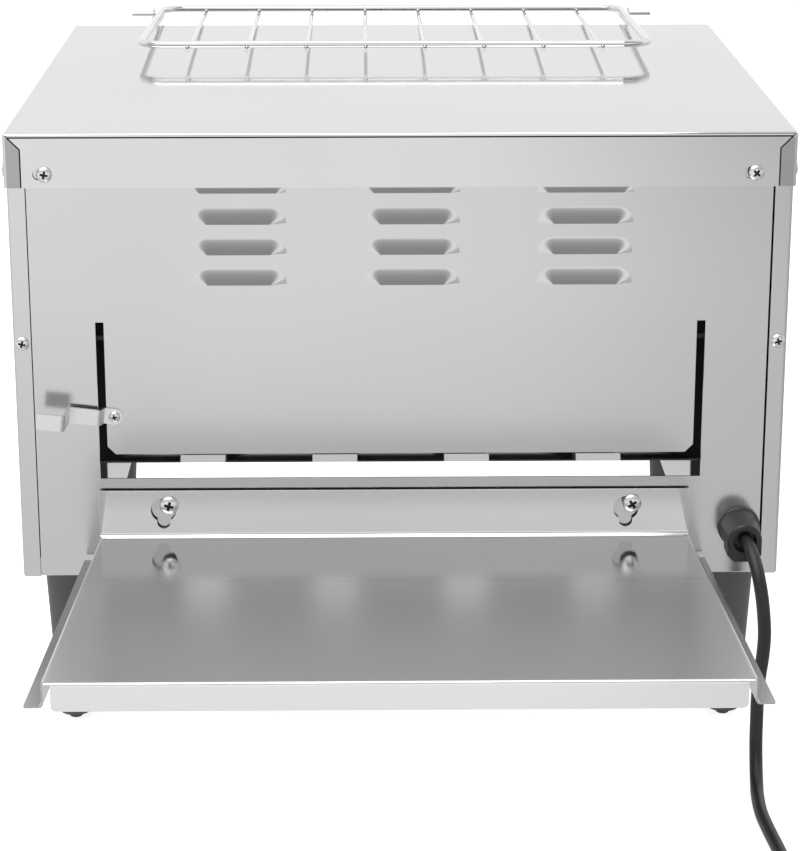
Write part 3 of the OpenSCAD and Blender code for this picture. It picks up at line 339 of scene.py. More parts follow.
# Hinge rod: dark and without shine.
heat_stained_sheet = new_material(
    "heat_stained_steel", {"Metallic": 0.3}, satin_sheet("Y", "#262524", "#302f2d", 0.5, 0.7))

print("sheet finishes:", len(bpy.data.materials))

# %% [markdown]
# ## Plain finishes
# Plastic, rubber, plating and ceramic have no direction. One fine even noise shifts the tone by a shade, the
# gloss a little, and the surface by hundredths of a millimetre. Then every CAD node gets its finish.

# %% Plain finishes


def grained(dark, light, grain, smooth, rough, depth):
    """The nodes of a surface with a fine even grain, as moulded plastic, plating or ceramic has."""
    def build(tree):
        place = add_node(tree, "ShaderNodeTexCoord").outputs["Object"]
        grit = add_node(tree, "ShaderNodeTexNoise", {"Vector": place, "Scale": 1 / grain, "Detail": 2})
        tone = add_node(tree, "ShaderNodeMix",
                        {"Factor": grit.outputs["Fac"], "A": linear(dark), "B": linear(light)},
                        data_type="RGBA")
        gloss = add_node(tree, "ShaderNodeMapRange",
                         {"Value": grit.outputs["Fac"], "To Min": smooth, "To Max": rough})
        relief = add_node(tree, "ShaderNodeBump",
                          {"Height": grit.outputs["Fac"], "Strength": 0.3, "Distance": depth})
        return {"Base Color": tone.outputs["Result"], "Roughness": gloss.outputs["Result"],
                "Normal": relief.outputs["Normal"]}
    return build


# Bread rack: a hard, bright mirror.
chrome_wire = new_material(
    "chromed_wire", {"Metallic": 1.0}, grained("#dcdddf", "#e4e5e6", 20 * MM, 0.05, 0.1, 0.01 * MM))
# Screw recesses: painted shade, a dark cross.
recess_shade = new_material(
    "screw_recess_painted_shade", {"Metallic": 0.3}, grained("#2e2e2d", "#3a3a38", 0.5 * MM, 0.5, 0.65, 0.02 * MM))
# Cover seams: painted shade, a dark line without shine.
seam_shade = new_material(
    "cover_seam_painted_shade", {"Specular IOR Level": 0.1},
    grained("#4a4a49", "#565655", 1 * MM, 0.7, 0.8, 0.02 * MM))
# Screws, lever and belt: bright with a wide soft highlight.
zinc_plate = new_material(
    "bright_zinc_plate", {"Metallic": 1.0}, grained("#e0e0df", "#e9e9e8", 3 * MM, 0.3, 0.38, 0.01 * MM))
# Shaft bushes: a dull gold, pitted.
sintered_bronze = new_material(
    "sintered_bronze", {"Metallic": 1.0}, grained("#8a6a3e", "#a5834f", 0.4 * MM, 0.35, 0.5, 0.03 * MM))
# Gear motor: black with a satin shine.
motor_enamel = new_material(
    "stoved_black_enamel", {}, grained("#2a2a2c", "#343436", 1.5 * MM, 0.35, 0.45, 0.02 * MM))
# Heating tubes: milky glass.
frosted_quartz = new_material(
    "frosted_quartz", {"IOR": 1.46, "Transmission Weight": 0.35},
    grained("#e9e6dd", "#f2efe7", 4 * MM, 0.25, 0.4, 0.02 * MM))
# Tube ends and terminals: warm white and slightly chalky.
steatite = new_material(
    "fired_steatite", {}, grained("#e3dfd5", "#eeebe3", 1 * MM, 0.35, 0.5, 0.03 * MM))
# Knobs and gland: near black with a satin shine.
black_nylon = new_material(
    "moulded_black_nylon", {}, grained("#272728", "#313132", 0.6 * MM, 0.3, 0.4, 0.02 * MM))
# Legs: dark grey with a fine grain.
leg_nylon = new_material(
    "grained_leg_nylon", {}, grained("#59595b", "#656567", 0.6 * MM, 0.42, 0.55, 0.03 * MM))
# Switch and speed control: dark brown-black.
dark_phenolic = new_material(
    "moulded_phenolic", {}, grained("#242322", "#2e2c2b", 0.8 * MM, 0.3, 0.4, 0.02 * MM))
# Feet: black and almost without shine.
foot_rubber = new_material(
    "moulded_rubber", {}, grained("#1d1d1d", "#262626", 0.8 * MM, 0.6, 0.75, 0.04 * MM))
# Mains lead: black with a soft line of light.
lead_jacket = new_material(
    "rubber_lead_jacket", {}, grained("#1c1c1d", "#262627", 1.2 * MM, 0.4, 0.5, 0.03 * MM))
# Lamp: clear red.
lamp_lens = new_material(
    "ribbed_lamp_lens", {"Transmission Weight": 0.5, "IOR": 1.49},
    grained("#b3200f", "#c92c16", 2 * MM, 0.1, 0.18, 0.01 * MM))
mains_lead.data.materials.append(lead_jacket)

FINISH_OF_NODE = {
    "top_cover": bright_stainless, "rear_panel": stainless_along_x, "front_panel": stainless_along_x,
    "side_panel_left": stainless_along_y, "side_panel_right": stainless_along_y,
    "rear_tray": tray_stainless, "deflector_plate": stainless_along_x,
    "inner_wall_left": inner_wall_sheet, "inner_wall_right": inner_wall_sheet,
    "deflector_rod": heat_stained_sheet,
    "leg_rear_left": leg_nylon, "leg_rear_right": leg_nylon,
    "leg_front_left": leg_nylon, "leg_front_right": leg_nylon,
    "bread_rack": chrome_wire,
    "upper_reflector": aluminised_sheet, "lower_reflector": aluminised_sheet,
    "toast_chute": chute_sheet}
FINISH_OF_SLOT = {
    "steel": stainless_along_x, "bright_metal": zinc_plate, "bronze": sintered_bronze,
    "motor_paint": motor_enamel, "tube_glass": frosted_quartz, "white_insulator": steatite,
    "dark_plastic": dark_phenolic, "black_plastic": black_nylon, "foot_rubber": foot_rubber,
    "lamp_lens": lamp_lens, "cord_rubber": lead_jacket}
for part in frame["record"]["subparts"]:
    shape = frame["nodes"][part["node"]]
    finish = FINISH_OF_NODE.get(part["node"], FINISH_OF_SLOT[part["material_slot"]])
    for place in shape.material_slots:
        place.material = finish
print("finishes:", len(bpy.data.materials))

# %% [markdown]
# ## Ways to choose, cut and finish
# Every piece below is made with the same few moves: take one piece, open it with some of its points, edges
# or faces chosen, use a tool on them, and close it again. Places are written as in the CAD model's own
# plan, in mm: across, behind or before the cover's rear edge, and above the table.

# %% Modelling helpers


def at(across, depth, height):
    """A place given in mm across, from the cover's rear edge towards the front, and above the table."""
    return Vector((across * MM, rear_y + depth * MM, height * MM))


def take(shape):
    """Chooses one piece alone, ready for the modelling tools."""
    bpy.ops.object.select_all(action="DESELECT")
    shape.select_set(True)
    bpy.context.view_layer.objects.active = shape


def choose(shape, kind, test):
    """Opens a piece with only those points, edges or faces chosen that pass a test."""
    take(shape)
    bpy.ops.object.mode_set(mode="EDIT")
    bpy.ops.mesh.select_mode(type=kind)
    bpy.ops.mesh.select_all(action="DESELECT")
    net = bmesh.from_edit_mesh(shape.data)
    for part in {"VERT": net.verts, "EDGE": net.edges, "FACE": net.faces}[kind]:
        if test(part):
            part.select_set(True)
    net.select_flush_mode()
    bmesh.update_edit_mesh(shape.data)


def close():
    """Leaves edit mode."""
    bpy.ops.object.mode_set(mode="OBJECT")


def apply_modifier(shape, kind, **settings):
    """Adds a modifier, sets it and applies it."""
    take(shape)
    modifier = shape.modifiers.new(kind.lower(), kind)
    for name, value in settings.items():
        setattr(modifier, name, value)
    bpy.ops.object.modifier_apply(modifier=modifier.name)


def settle(shape):
    """Makes a piece's place, turn and scale part of its shape."""
    take(shape)
    bpy.ops.object.transform_apply(location=True, rotation=True, scale=True)


def copied(shape):
    """A copy of a piece with a mesh of its own."""
    copy = shape.copy()
    copy.data = shape.data.copy()
    bpy.context.scene.collection.objects.link(copy)
    return copy


def round_off(shape, kind, test, radius, steps):
    """Rounds the points or edges that pass a test."""
    choose(shape, kind, test)
    bpy.ops.mesh.bevel(offset=radius * MM, segments=steps, affect="EDGES" if kind == "EDGE" else "VERTICES")
    close()


def facing(shape, way):
    """Turns the faces of a sheet so that together they look a given way."""
    choose(shape, "FACE", lambda face: True)
    bpy.ops.mesh.normals_make_consistent(inside=False)
    close()
    if sum(face.normal.dot(way) * face.area for face in shape.data.polygons) < 0:
        choose(shape, "FACE", lambda face: True)
        bpy.ops.mesh.flip_normals()
        close()


def block(low, high):
    """A box between two corners that are given as places."""
    low, high = Vector(low), Vector(high)
    bpy.ops.mesh.primitive_cube_add(size=1, location=(low + high) / 2)
    shape = bpy.context.object
    shape.scale = high - low
    bpy.ops.object.transform_apply(location=True, rotation=False, scale=True)
    return shape


def bore(place, radius, length, sides):
    """A round cutter whose axis runs from rear to front."""
    bpy.ops.mesh.primitive_cylinder_add(vertices=sides, radius=radius * MM, depth=length * MM,
                                        location=place, rotation=(math.pi / 2, 0, 0))
    return bpy.context.object


def cut_away(shape, *cutters):
    """Takes the cutters' volumes out of a piece."""
    for cutter in cutters:
        apply_modifier(shape, "BOOLEAN", operation="DIFFERENCE", object=cutter, solver="EXACT")
        bpy.data.objects.remove(cutter)


def joined(shapes):
    """Makes one piece of several."""
    take(shapes[0])
    for shape in shapes[1:]:
        shape.select_set(True)
    bpy.ops.object.join()
    return shapes[0]


def soften_edges(shape, width, steps, angle=50):
    """Takes the sharpness off every edge that turns by more than an angle."""
    apply_modifier(shape, "BEVEL", width=width * MM, segments=steps, limit_method="ANGLE",
                   angle_limit=math.radians(angle))


def finish_piece(shape, name, body, slot, finish, *nodes):
    choose(shape, "VERT", lambda point: True)
    bpy.ops.mesh.remove_doubles(threshold=1e-6)
    bpy.ops.mesh.select_all(action="SELECT")
    bpy.ops.mesh.normals_make_consistent(inside=False)
    close()
    bpy.ops.object.shade_smooth_by_angle(angle=math.radians(32))
    apply_modifier(shape, "WEIGHTED_NORMAL", keep_sharp=True)
    shape.name = name
    shape.data.name = name
    if finish not in list(shape.data.materials):
        shape.data.materials.clear()
        shape.data.materials.append(finish)
    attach(shape, body)
    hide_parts(*nodes)
    print(name, "faces:", len(shape.data.polygons))
    return shape


UP, REAR, FRONT, LEFT, RIGHT = map(Vector, ((0, 0, 1), (0, -1, 0), (0, 1, 0), (-1, 0, 0), (1, 0, 0)))

# %% [markdown]
# ## Top cover
# The cover is one sheet, folded down on all sides. It starts as a box without a bottom. Its folds get the
# small radius that a press brake leaves, because that radius is what draws the bright and the dark line
# along the edge. Then the sheet gets its thickness, and the openings are cut. At the two rear corners the
# side flange's tab comes round onto the rear; it has been ground, so it has a duller finish. The seams round
# the rear flange are narrow grooves with painted shade inside.

# %% Top cover
COVER_HALF, COVER_DEPTH, COVER_TOP, SKIRT = 234, 420, 387, 32.5
TAB_WIDTH, SEAM, SEAM_DEPTH, BEND = 9.6, 0.9, 0.9, 1.7
COVER_SCREW_X, COVER_SCREW_Z = 210, 362.7
cover = block(at(-COVER_HALF, 0, COVER_TOP - SKIRT), at(COVER_HALF, COVER_DEPTH, COVER_TOP))
choose(cover, "FACE", lambda face: face.normal.z < -0.5)
bpy.ops.mesh.delete(type="FACE")
close()
low_edge = (COVER_TOP - SKIRT + 1) * MM
round_off(cover, "EDGE", lambda edge: max(point.co.z for point in edge.verts) > low_edge, BEND, 5)
apply_modifier(cover, "SOLIDIFY", thickness=1 * MM, offset=-1, use_even_offset=True)


def stadium(across, depth, height, wide, high):
    """A cutter with two round ends, its length across and its axis from rear to front."""
    shape = bore(at(across, depth, height), high / 2, 8, 40)
    settle(shape)
    for way in (-1, 1):
        choose(shape, "VERT", lambda point: (point.co.x - across * MM) * way > 1e-6 * way)
        bpy.ops.transform.translate(value=(way * (wide - high) / 2 * MM, 0, 0))
        close()
    return shape


hem_opening = block(at(-221, 417, 350), at(221, 423, COVER_TOP - 12))
cut_away(cover, hem_opening)
for side in (-1, 1):
    cut_away(cover, stadium(side * COVER_SCREW_X - 1.5, 0, COVER_SCREW_Z, 11.2, 7))
seam_top = COVER_TOP - BEND - 0.3
cut_away(cover, block(at(1 - COVER_HALF, -2, seam_top - SEAM), at(COVER_HALF - 1, SEAM_DEPTH, seam_top)))
for side in (-1, 1):
    seam_x = side * (COVER_HALF - TAB_WIDTH)
    near_x, far_x = sorted((seam_x, seam_x - side * SEAM))
    upright = block(at(near_x, -2, 350), at(far_x, SEAM_DEPTH, COVER_TOP - TAB_WIDTH + 0.3))
    mitre = block((-SEAM / 2 * MM, -2 * MM, 0), (SEAM / 2 * MM, SEAM_DEPTH * MM, 11.5 * MM))
    mitre.rotation_euler = (0, side * math.pi / 4, 0)
    mitre.location = at(seam_x - side * SEAM / 2, 0, COVER_TOP - TAB_WIDTH)
    settle(mitre)
    cut_away(cover, upright, mitre)
    choose(cover, "FACE", lambda face: face.normal.y < -0.9)
    bpy.ops.mesh.bisect(plane_co=at(side * (COVER_HALF - BEND), 0, 0), plane_no=(1, 0, 0))
    close()
for finish in (bright_stainless, ground_stainless, seam_shade):
    cover.data.materials.append(finish)
# Faces in the seam grooves get painted shade; the ground tabs get the duller finish.
for face in cover.data.polygons:
    middle = (face.center - at(0, 0, 0)) / MM
    aside = COVER_HALF - abs(middle.x)
    below = COVER_TOP - middle.z
    in_sheet = 0.02 < middle.y < 0.95 and aside > BEND + 0.3 and below > BEND
    if in_sheet and (aside < TAB_WIDTH + 1.2 or below < 5):
        face.material_index = 2
    elif middle.y < 0.02 and BEND < aside < TAB_WIDTH and below > aside:
        face.material_index = 1
finish_piece(cover, "folded_cover", "case", "steel", bright_stainless, "top_cover")

# %% [markdown]
# ## Rear panel with its louvres
# A louvre is pressed: the punch cuts a straight lip and pushes the sheet out into a hood that runs down to
# the panel all round. Its section is a slope that steepens towards the lip. That section is drawn as a chain
# of points, spun a quarter turn for one round end, mirrored for the other, and bridged along the middle.
# One hood is modelled and copied to its rows and columns.

# %% One louvre hood


def chain(places):
    """A line of points: one point, drawn on from place to place."""
    bpy.ops.mesh.primitive_plane_add(size=MM)
    shape = bpy.context.object
    choose(shape, "VERT", lambda point: True)
    bpy.ops.mesh.merge(type="CENTER")
    bpy.ops.transform.translate(value=places[0])
    for start, end in zip(places, places[1:]):
        bpy.ops.mesh.extrude_vertices_move(TRANSFORM_OT_translate={"value": Vector(end) - Vector(start)})
    close()
    return shape


def hood(wide, high, out):
    """A pressed hood round the origin: its lip along X, its slope rising to +Z, standing out to -Y."""
    straight = wide / 2 - high
    shares = [step / 12 for step in range(13)]
    shape = chain([Vector((straight, -out * (1 - share) ** 1.25, share * high)) * MM for share in shares])
    choose(shape, "VERT", lambda point: True)
    bpy.ops.mesh.spin(steps=9, angle=math.pi / 2, center=(straight * MM, 0, 0), axis=(0, -1, 0))
    close()
    apply_modifier(shape, "MIRROR", use_mirror_merge=False)
    choose(shape, "EDGE", lambda edge: all(abs(abs(p.co.x) - straight * MM) < 1e-6 for p in edge.verts)
           and min(p.co.z for p in edge.verts) > -1e-6)
    bpy.ops.mesh.bridge_edge_loops()
    bpy.ops.mesh.select_all(action="SELECT")
    bpy.ops.mesh.remove_doubles(threshold=1e-7)
    close()
    facing(shape, REAR)
    apply_modifier(shape, "SOLIDIFY", thickness=0.8 * MM, offset=-1)
    return shape


# %% [markdown]
# ## Panel and hoods together
# The panel is a flat sheet with a soft lower edge. The outlet, two narrow shadow gaps beside the side panels'
# lips, the slots behind the louvres and the hole for the cord gland are cut from it.

# %% Rear panel
PANEL_HALF, PANEL_LOW, PANEL_TOP = 231.5, 110.5, 386
LOUVRE_X, LOUVRE_SPACING, LOUVRE_PITCH, FIRST_LIP = 6.6, 103, 18.5, 35.9
GLAND_X, GLAND_Z = 208, 141
panel = block(at(-PANEL_HALF, 2, PANEL_LOW), at(PANEL_HALF, 3, PANEL_TOP))
round_off(panel, "EDGE", lambda edge: all(
    p.co.z < (PANEL_LOW + 0.1) * MM and p.co.y < rear_y + 2.1 * MM for p in edge.verts), 0.7, 3)
cut_away(panel, block(at(-183.3, 0, 173.5), at(183.3, 5, 272)))
for gap_start, gap_end in ((-222.2, -221.5), (220.9, 222.2)):
    cut_away(panel, block(at(gap_start, 0, 112), at(gap_end, 5, 354)))
hoods = []
for row in range(4):
    high, out = (5.9, 2.4) if row == 0 else (9.7, 4)
    first = hood(57, high, out)
    lip = COVER_TOP - FIRST_LIP - LOUVRE_PITCH * row
    for column in (-1, 0, 1):
        across = LOUVRE_X + LOUVRE_SPACING * column
        cut_away(panel, block(at(across - 25, 1, lip + 0.2), at(across + 25, 4, lip + high * 0.7)))
        copy = copied(first)
        copy.location = at(across, 2, lip)
        settle(copy)
        hoods.append(copy)
    bpy.data.objects.remove(first)
cut_away(panel, bore(at(GLAND_X, 2.5, GLAND_Z), 8.52, 6, 40))
panel = joined([panel] + hoods)
finish_piece(panel, "louvred_rear_panel", "case", "steel", stainless_along_x, "rear_panel")

# %% [markdown]
# ## Folded sheets that keep their CAD outline
# The side panels and the deflector already have the right outline. A copy of each is cleaned so
# that every flat is one face, and then its folds are rounded: a wide radius on the folds, and a very small
# one on all other edges, since no sheet has an edge sharp enough to catch no light.

# %% Softened copies
ROUND_FROM = 0.4


def softened(node, edge, *folds):
    """A copy of a CAD node with soft edges and rounded folds; a fold has a test for its ends and a radius."""
    source = frame["nodes"][node]
    mesh = source.data.copy()
    mesh.transform(source.matrix_world)
    shape = bpy.data.objects.new(node + "_copy", mesh)
    bpy.context.scene.collection.objects.link(shape)
    mesh.materials.clear()
    choose(shape, "VERT", lambda point: True)
    bpy.ops.mesh.remove_doubles(threshold=2e-6)
    bpy.ops.mesh.select_all(action="SELECT")
    bpy.ops.mesh.dissolve_limited(angle_limit=math.radians(0.5))
    bpy.ops.mesh.normals_make_consistent(inside=False)
    close()

    for test, radius in folds:
        round_off(shape, "EDGE", lambda line: line.is_manifold and line.calc_face_angle(0) > math.radians(50)
                  and all(test((p.co - at(0, 0, 0)) / MM) for p in line.verts), radius, 5)
    soften_edges(shape, edge, 3 if edge > ROUND_FROM else 1)
    return shape


def near(value, *levels):
    """Whether a length in mm is one of some levels."""
    return any(abs(value - level) < 0.05 for level in levels)


for side, name in ((-1, "left"), (1, "right")):
    sheet = softened("side_panel_" + name, 0.12, (lambda p: near(abs(p.x), 232.5) and near(p.y, 1, 419), 1.8))
    finish_piece(sheet, "folded_side_" + name, "case", "steel", stainless_along_y, "side_panel_" + name)

flap = softened("deflector_plate", 0.12)
finish_piece(flap, "deflector_flap", "deflector", "steel", stainless_along_x, "deflector_plate")

# %% [markdown]
# ## Tray
# The tray's back flange, floor and front lip are one sheet, bent twice. Its section is a chain of four
# points whose two bends are rounded. The chain is pulled across, its front is widened, and it gets its
# thickness. The notches beside the lip and the keyholes are cut last. The back bend shows as a bright line,
# since it gathers the light from above.

# %% Tray sheet
TRAY_X, TRAY_HALF, FLARE = -3.6, 180.5, 385.4 / 361
LIP_HALF, TRAY_SCREW_X, FOLD = 187.4, 141.6, 1.5
tray_line = [(-1.5, 166.5), (-1.5, 137.46), (-222, 132.3), (-222.6, 116.3)]


def pull(shape, way):
    """Draws a line of points out into a sheet."""
    choose(shape, "EDGE", lambda edge: True)
    bpy.ops.mesh.extrude_edges_move(TRANSFORM_OT_translate={"value": way})
    close()


tray = chain([at(TRAY_X - TRAY_HALF, depth, height) for depth, height in tray_line])
for bend, radius in ((1, 2.0), (2, 1.9)):
    spot = at(TRAY_X - TRAY_HALF, *tray_line[bend])
    round_off(tray, "VERT", lambda point: (point.co - spot).length < 1e-5, radius, 6)
pull(tray, (2 * TRAY_HALF * MM, 0, 0))
for behind, wider in ((-2.5, 1 - FOLD / TRAY_HALF), (-100, FLARE)):
    choose(tray, "VERT", lambda point: point.co.y < at(0, behind, 0).y)
    bpy.ops.transform.resize(value=(wider, 1, 1), center_override=at(TRAY_X, 0, 0))
    close()
facing(tray, UP)
apply_modifier(tray, "SOLIDIFY", thickness=1 * MM, offset=-1, use_even_offset=True)
for side in (-1, 1):
    inner, outer = sorted((TRAY_X + side * LIP_HALF, TRAY_X + side * 196))
    cut_away(tray, block(at(inner, -226, 100), at(outer, -220.2, 131.2)))
round_off(tray, "EDGE", lambda edge: abs(edge.verts[0].co.x - edge.verts[1].co.x) < 1e-5 and all(
    p.co.z < 117 * MM and p.co.y < at(0, -221, 0).y for p in edge.verts), 3, 6)
for side in (-1, 1):
    keyhole_x = TRAY_X + side * TRAY_SCREW_X
    cut_away(tray, bore(at(keyhole_x, -1, 154), 7.75, 6, 48), bore(at(keyhole_x, -1, 146), 4, 6, 32),
             block(at(keyhole_x - 4, -4, 146), at(keyhole_x + 4, 2, 152)))
soften_edges(tray, 0.3, 2)
for finish in (tray_stainless, lip_painted_highlight):
    tray.data.materials.append(finish)
# Front lip faces that look to the rear get the brighter copy of the sheet: a painted highlight.
for face in tray.data.polygons:
    if face.normal.y < -0.8 and face.center.y < at(0, -220, 0).y:
        face.material_index = 1
print("tray sheet faces:", len(tray.data.polygons))

# %% [markdown]
# ## Walls and rims of the tray
# Each side of the floor turns down into a wall and out into a rim. The strip's section is a chain with two
# round bends. It is pulled along the floor's side, which spreads and droops a little towards the front.

# %% Tray rims
WALL_DEPTH, RIM_WIDTH, RIM_START, FLOOR_TOP = 14.5, 10, -4.5, 137.45
SPREAD = TRAY_HALF * (FLARE - 1)
rims = []
for side in (-1, 1):
    edge_x = TRAY_X + side * TRAY_HALF
    rim_line = [(edge_x - side * 4, FLOOR_TOP), (edge_x, FLOOR_TOP), (edge_x, FLOOR_TOP - WALL_DEPTH),
                (edge_x + side * RIM_WIDTH, FLOOR_TOP - WALL_DEPTH)]
    rim = chain([at(across, RIM_START, height) for across, height in rim_line])
    for across, height in rim_line[1:3]:
        spot = at(across, RIM_START, height)
        round_off(rim, "VERT", lambda point: (point.co - spot).length < 1e-5, FOLD, 5)
    pull(rim, (side * SPREAD * MM, -215 * MM, -5.03 * MM))
    facing(rim, UP)
    apply_modifier(rim, "SOLIDIFY", thickness=0.9 * MM, offset=-1, use_even_offset=True)
    rim_end = (edge_x + side * (SPREAD + RIM_WIDTH)) * MM
    round_off(rim, "EDGE", lambda edge: all(
        p.co.y < at(0, -218, 0).y and abs(p.co.x - rim_end) < 1e-4 for p in edge.verts), 2, 5)
    for finish in (tray_stainless, rim_painted_shade):
        rim.data.materials.append(finish)
    # Faces below the floor's edge get the greyer copy of the sheet: painted shade.
    for face in rim.data.polygons:
        face.material_index = 0 if face.center.z > (FLOOR_TOP - 4.1) * MM else 1
    rims.append(rim)
tray = joined([tray] + rims)
finish_piece(tray, "folded_tray", "tray", "steel", tray_stainless, "rear_tray")

# %% [markdown]
# ## Flap lever
# The lever is a strip of plated steel, bent twice so that it clears the casing and ends in a handle. Its edge
# line is drawn as a chain, the bends are rounded, and the line is pulled up into a strip that gets its
# thickness. The end under the screw is rounded off. It is drawn lying square and then tilted into place.

# %% Flap lever
LEVER_WIDTH, LEVER_TILT = 9.8, 6.6
LEVER_X, LEVER_Z = -173.7, 212.5
lever_line = [(4.9, 0), (-7.3, 0), (-8.9, 6.5), (-28, 6.5), (-29.2, 26), (-44.3, 26)]
lever = chain([Vector((u, -out, -LEVER_WIDTH / 2)) * MM for u, out in lever_line])
round_off(lever, "VERT", lambda point: len(point.link_edges) == 2, 1.1, 4)
pull(lever, (0, 0, LEVER_WIDTH * MM))
facing(lever, REAR)
apply_modifier(lever, "SOLIDIFY", thickness=1.5 * MM, offset=1, use_even_offset=True)
round_off(lever, "EDGE", lambda edge: all(p.co.x > 4.8 * MM for p in edge.verts)
          and abs(edge.verts[0].co.y - edge.verts[1].co.y) > 1 * MM, LEVER_WIDTH * 0.49, 10)
soften_edges(lever, 0.2, 2)
lever.data.transform(Matrix.Translation(at(LEVER_X, 4.95, LEVER_Z))
                     @ Matrix.Rotation(math.radians(LEVER_TILT), 4, "Y"))
finish_piece(lever, "bent_lever", "deflector", "bright_metal", zinc_plate, "deflector_lever")

# %% [markdown]
# ## Cord gland
# The lead is held where it passes the panel, so that a pull on it never reaches the wires. The holder is a
# nylon gland: a flange on the panel, a tapered body, and a clamp with a squared lower jaw. The body is turned
# from an outline, the jaw is a chamfered block joined to it, and the mouth is bored last.

# %% Cord gland
gland_line = [
    (0, 29), (9.6, 29), (10.5, 28.2), (12, 6), (12.4, 3.9), (12.8, 3.5), (13, 3.1), (13, 0), (8.4, 0),
    (8.4, -1), (10.2, -1), (10.2, -6), (8.4, -6), (8.4, -11), (0, -11)]


def turned(outline, steps):
    """A body turned round Z from half its outline, given in mm across and along the axis."""
    shape = chain([Vector((across, 0, level)) * MM for across, level in outline])
    choose(shape, "VERT", lambda point: True)
    bpy.ops.mesh.spin(steps=steps, angle=2 * math.pi, center=(0, 0, 0), axis=(0, 0, 1))
    bpy.ops.mesh.select_all(action="SELECT")
    bpy.ops.mesh.remove_doubles(threshold=1e-6)
    bpy.ops.mesh.normals_make_consistent(inside=False)
    close()
    return shape


gland = turned(gland_line, 48)
jaw = block(Vector((-10.4, -13.2, 13)) * MM, Vector((10.4, 1, 28.4)) * MM)
round_off(jaw, "EDGE", lambda edge: all(p.co.y < -13 * MM for p in edge.verts)
          and abs(edge.verts[0].co.z - edge.verts[1].co.z) > 1 * MM, 4.2, 1)
apply_modifier(gland, "BOOLEAN", operation="UNION", object=jaw, solver="EXACT")
bpy.data.objects.remove(jaw)
bpy.ops.mesh.primitive_cylinder_add(vertices=48, radius=7.2 * MM, depth=10 * MM, location=(0, 0, 28.7 * MM))
cut_away(gland, bpy.context.object)
soften_edges(gland, 0.5, 2, 38)
gland.data.transform(Matrix.Translation(at(GLAND_X, 2, GLAND_Z)) @ Matrix.Rotation(math.pi / 2, 4, "X"))
finish_piece(gland, "clamp_gland", "case", "black_plastic", black_nylon, "cord_gland")

# %% [markdown]
# ## Pan-head screws
# A pan head is turned: half its outline is drawn as a chain and spun round the axis. The cross recess is
# cut with two wedges, and has painted shade inside, so that it reads as dark. Each size is modelled once,
# along +Z, and then copied and turned into its places.

# %% Screws


def pan_screw(head, high, shank, length):
    """A screw with its seat at the origin, its head to +Z and its shank to -Z; sizes in mm."""
    dome = [(0, 1), (0.35, 0.97), (0.62, 0.86), (0.82, 0.68), (0.94, 0.45), (1, 0.2), (1, 0)]
    outline = [(across * head, level * high) for across, level in dome]
    shape = turned(outline + [(shank, 0), (shank, -length), (0, -length)], 36)
    for turn in (0, 1):
        wedge = block(Vector((-head * 0.5, -head * 0.15, high * 0.3)) * MM,
                      Vector((head * 0.5, head * 0.15, high * 1.2)) * MM)
        wedge.rotation_euler = (0, 0, math.pi / 2 * turn)
        settle(wedge)
        cut_away(shape, wedge)
    shape.data.materials.append(zinc_plate)
    shape.data.materials.append(recess_shade)
    # Faces inside the cross recess get painted shade.
    for face in shape.data.polygons:
        middle = face.center / MM
        if middle.xy.length < head * 0.53 and 0 < middle.z < high * 0.84:
            face.material_index = 1
    return shape


def screws(name, body, size, places, node):
    """Copies of one screw; each place has where its seat is, the way its head looks, and a turn."""
    first = pan_screw(*size)
    copies = []
    for place, way, turn in places:
        copy = copied(first)
        spin = Matrix.Rotation(math.radians(turn), 4, "Z")
        aim = UP.rotation_difference(way).to_matrix().to_4x4()
        copy.data.transform(Matrix.Translation(place) @ aim @ spin)
        copies.append(copy)
    bpy.data.objects.remove(first)
    finish_piece(joined(copies), name, body, "bright_metal", zinc_plate, node)


cover_places = [(at(side * COVER_SCREW_X, 0, COVER_SCREW_Z), REAR, 20 + 30 * side) for side in (-1, 1)]
side_places = [(at(side * COVER_HALF, depth, COVER_SCREW_Z), RIGHT if side > 0 else LEFT, depth * 0.1)
               for side in (-1, 1) for depth in (14, 406)]
screws("cover_pan_screws", "case", (4.7, 2.8, 2, 9), cover_places + side_places, "cover_screws")
panel_places = [(at(side * 227.25, depth, 259.4), REAR if depth < 9 else FRONT, 15 * side + depth)
                for side in (-1, 1) for depth in (1, 419)]
screws("panel_pan_screws", "case", (4.3, 2.6, 2, 9), panel_places, "panel_screws")
tray_places = [(at(side * TRAY_SCREW_X, -1.8, 157.6), REAR, 10 + 25 * side) for side in (-1, 1)]
screws("tray_pan_screws", "case", (5.75, 3.4, 2.5, 10.3), tray_places, "tray_screws")
lever_places = [(at(LEVER_X, 3.45, LEVER_Z), REAR, 12)]
screws("lever_pan_screw", "deflector", (3.5, 2.2, 2, 4), lever_places, "lever_screw")

# %% [markdown]
# ## Soft edges on the moulded parts
# Knobs, lamp, plug, legs, feet and the front panel have the right shape already. Only their edges are too
# sharp, so each gets a copy with edges that catch the light, as the folded sheets did.

# %% Moulded parts
SOFT_EDGES = {
    "heat_knob": 0.5, "speed_knob": 0.5, "indicator_lamp": 0.3, "power_plug": 1.6, "front_panel": 0.25}
for corner in ("rear_left", "rear_right", "front_left", "front_right"):
    SOFT_EDGES["leg_" + corner] = 0.6
    SOFT_EDGES["foot_" + corner] = 0.5
BODY_OF_NODE = {"heat_knob": "heat_dial", "speed_knob": "speed_dial"}
slot_of_node = {part["node"]: part["material_slot"] for part in frame["record"]["subparts"]}
for node, edge in SOFT_EDGES.items():
    slot = slot_of_node[node]
    finish = FINISH_OF_NODE.get(node, FINISH_OF_SLOT[slot])
    body = BODY_OF_NODE.get(node, "case")
    finish_piece(softened(node, edge), "soft_" + node, body, slot, finish, node)

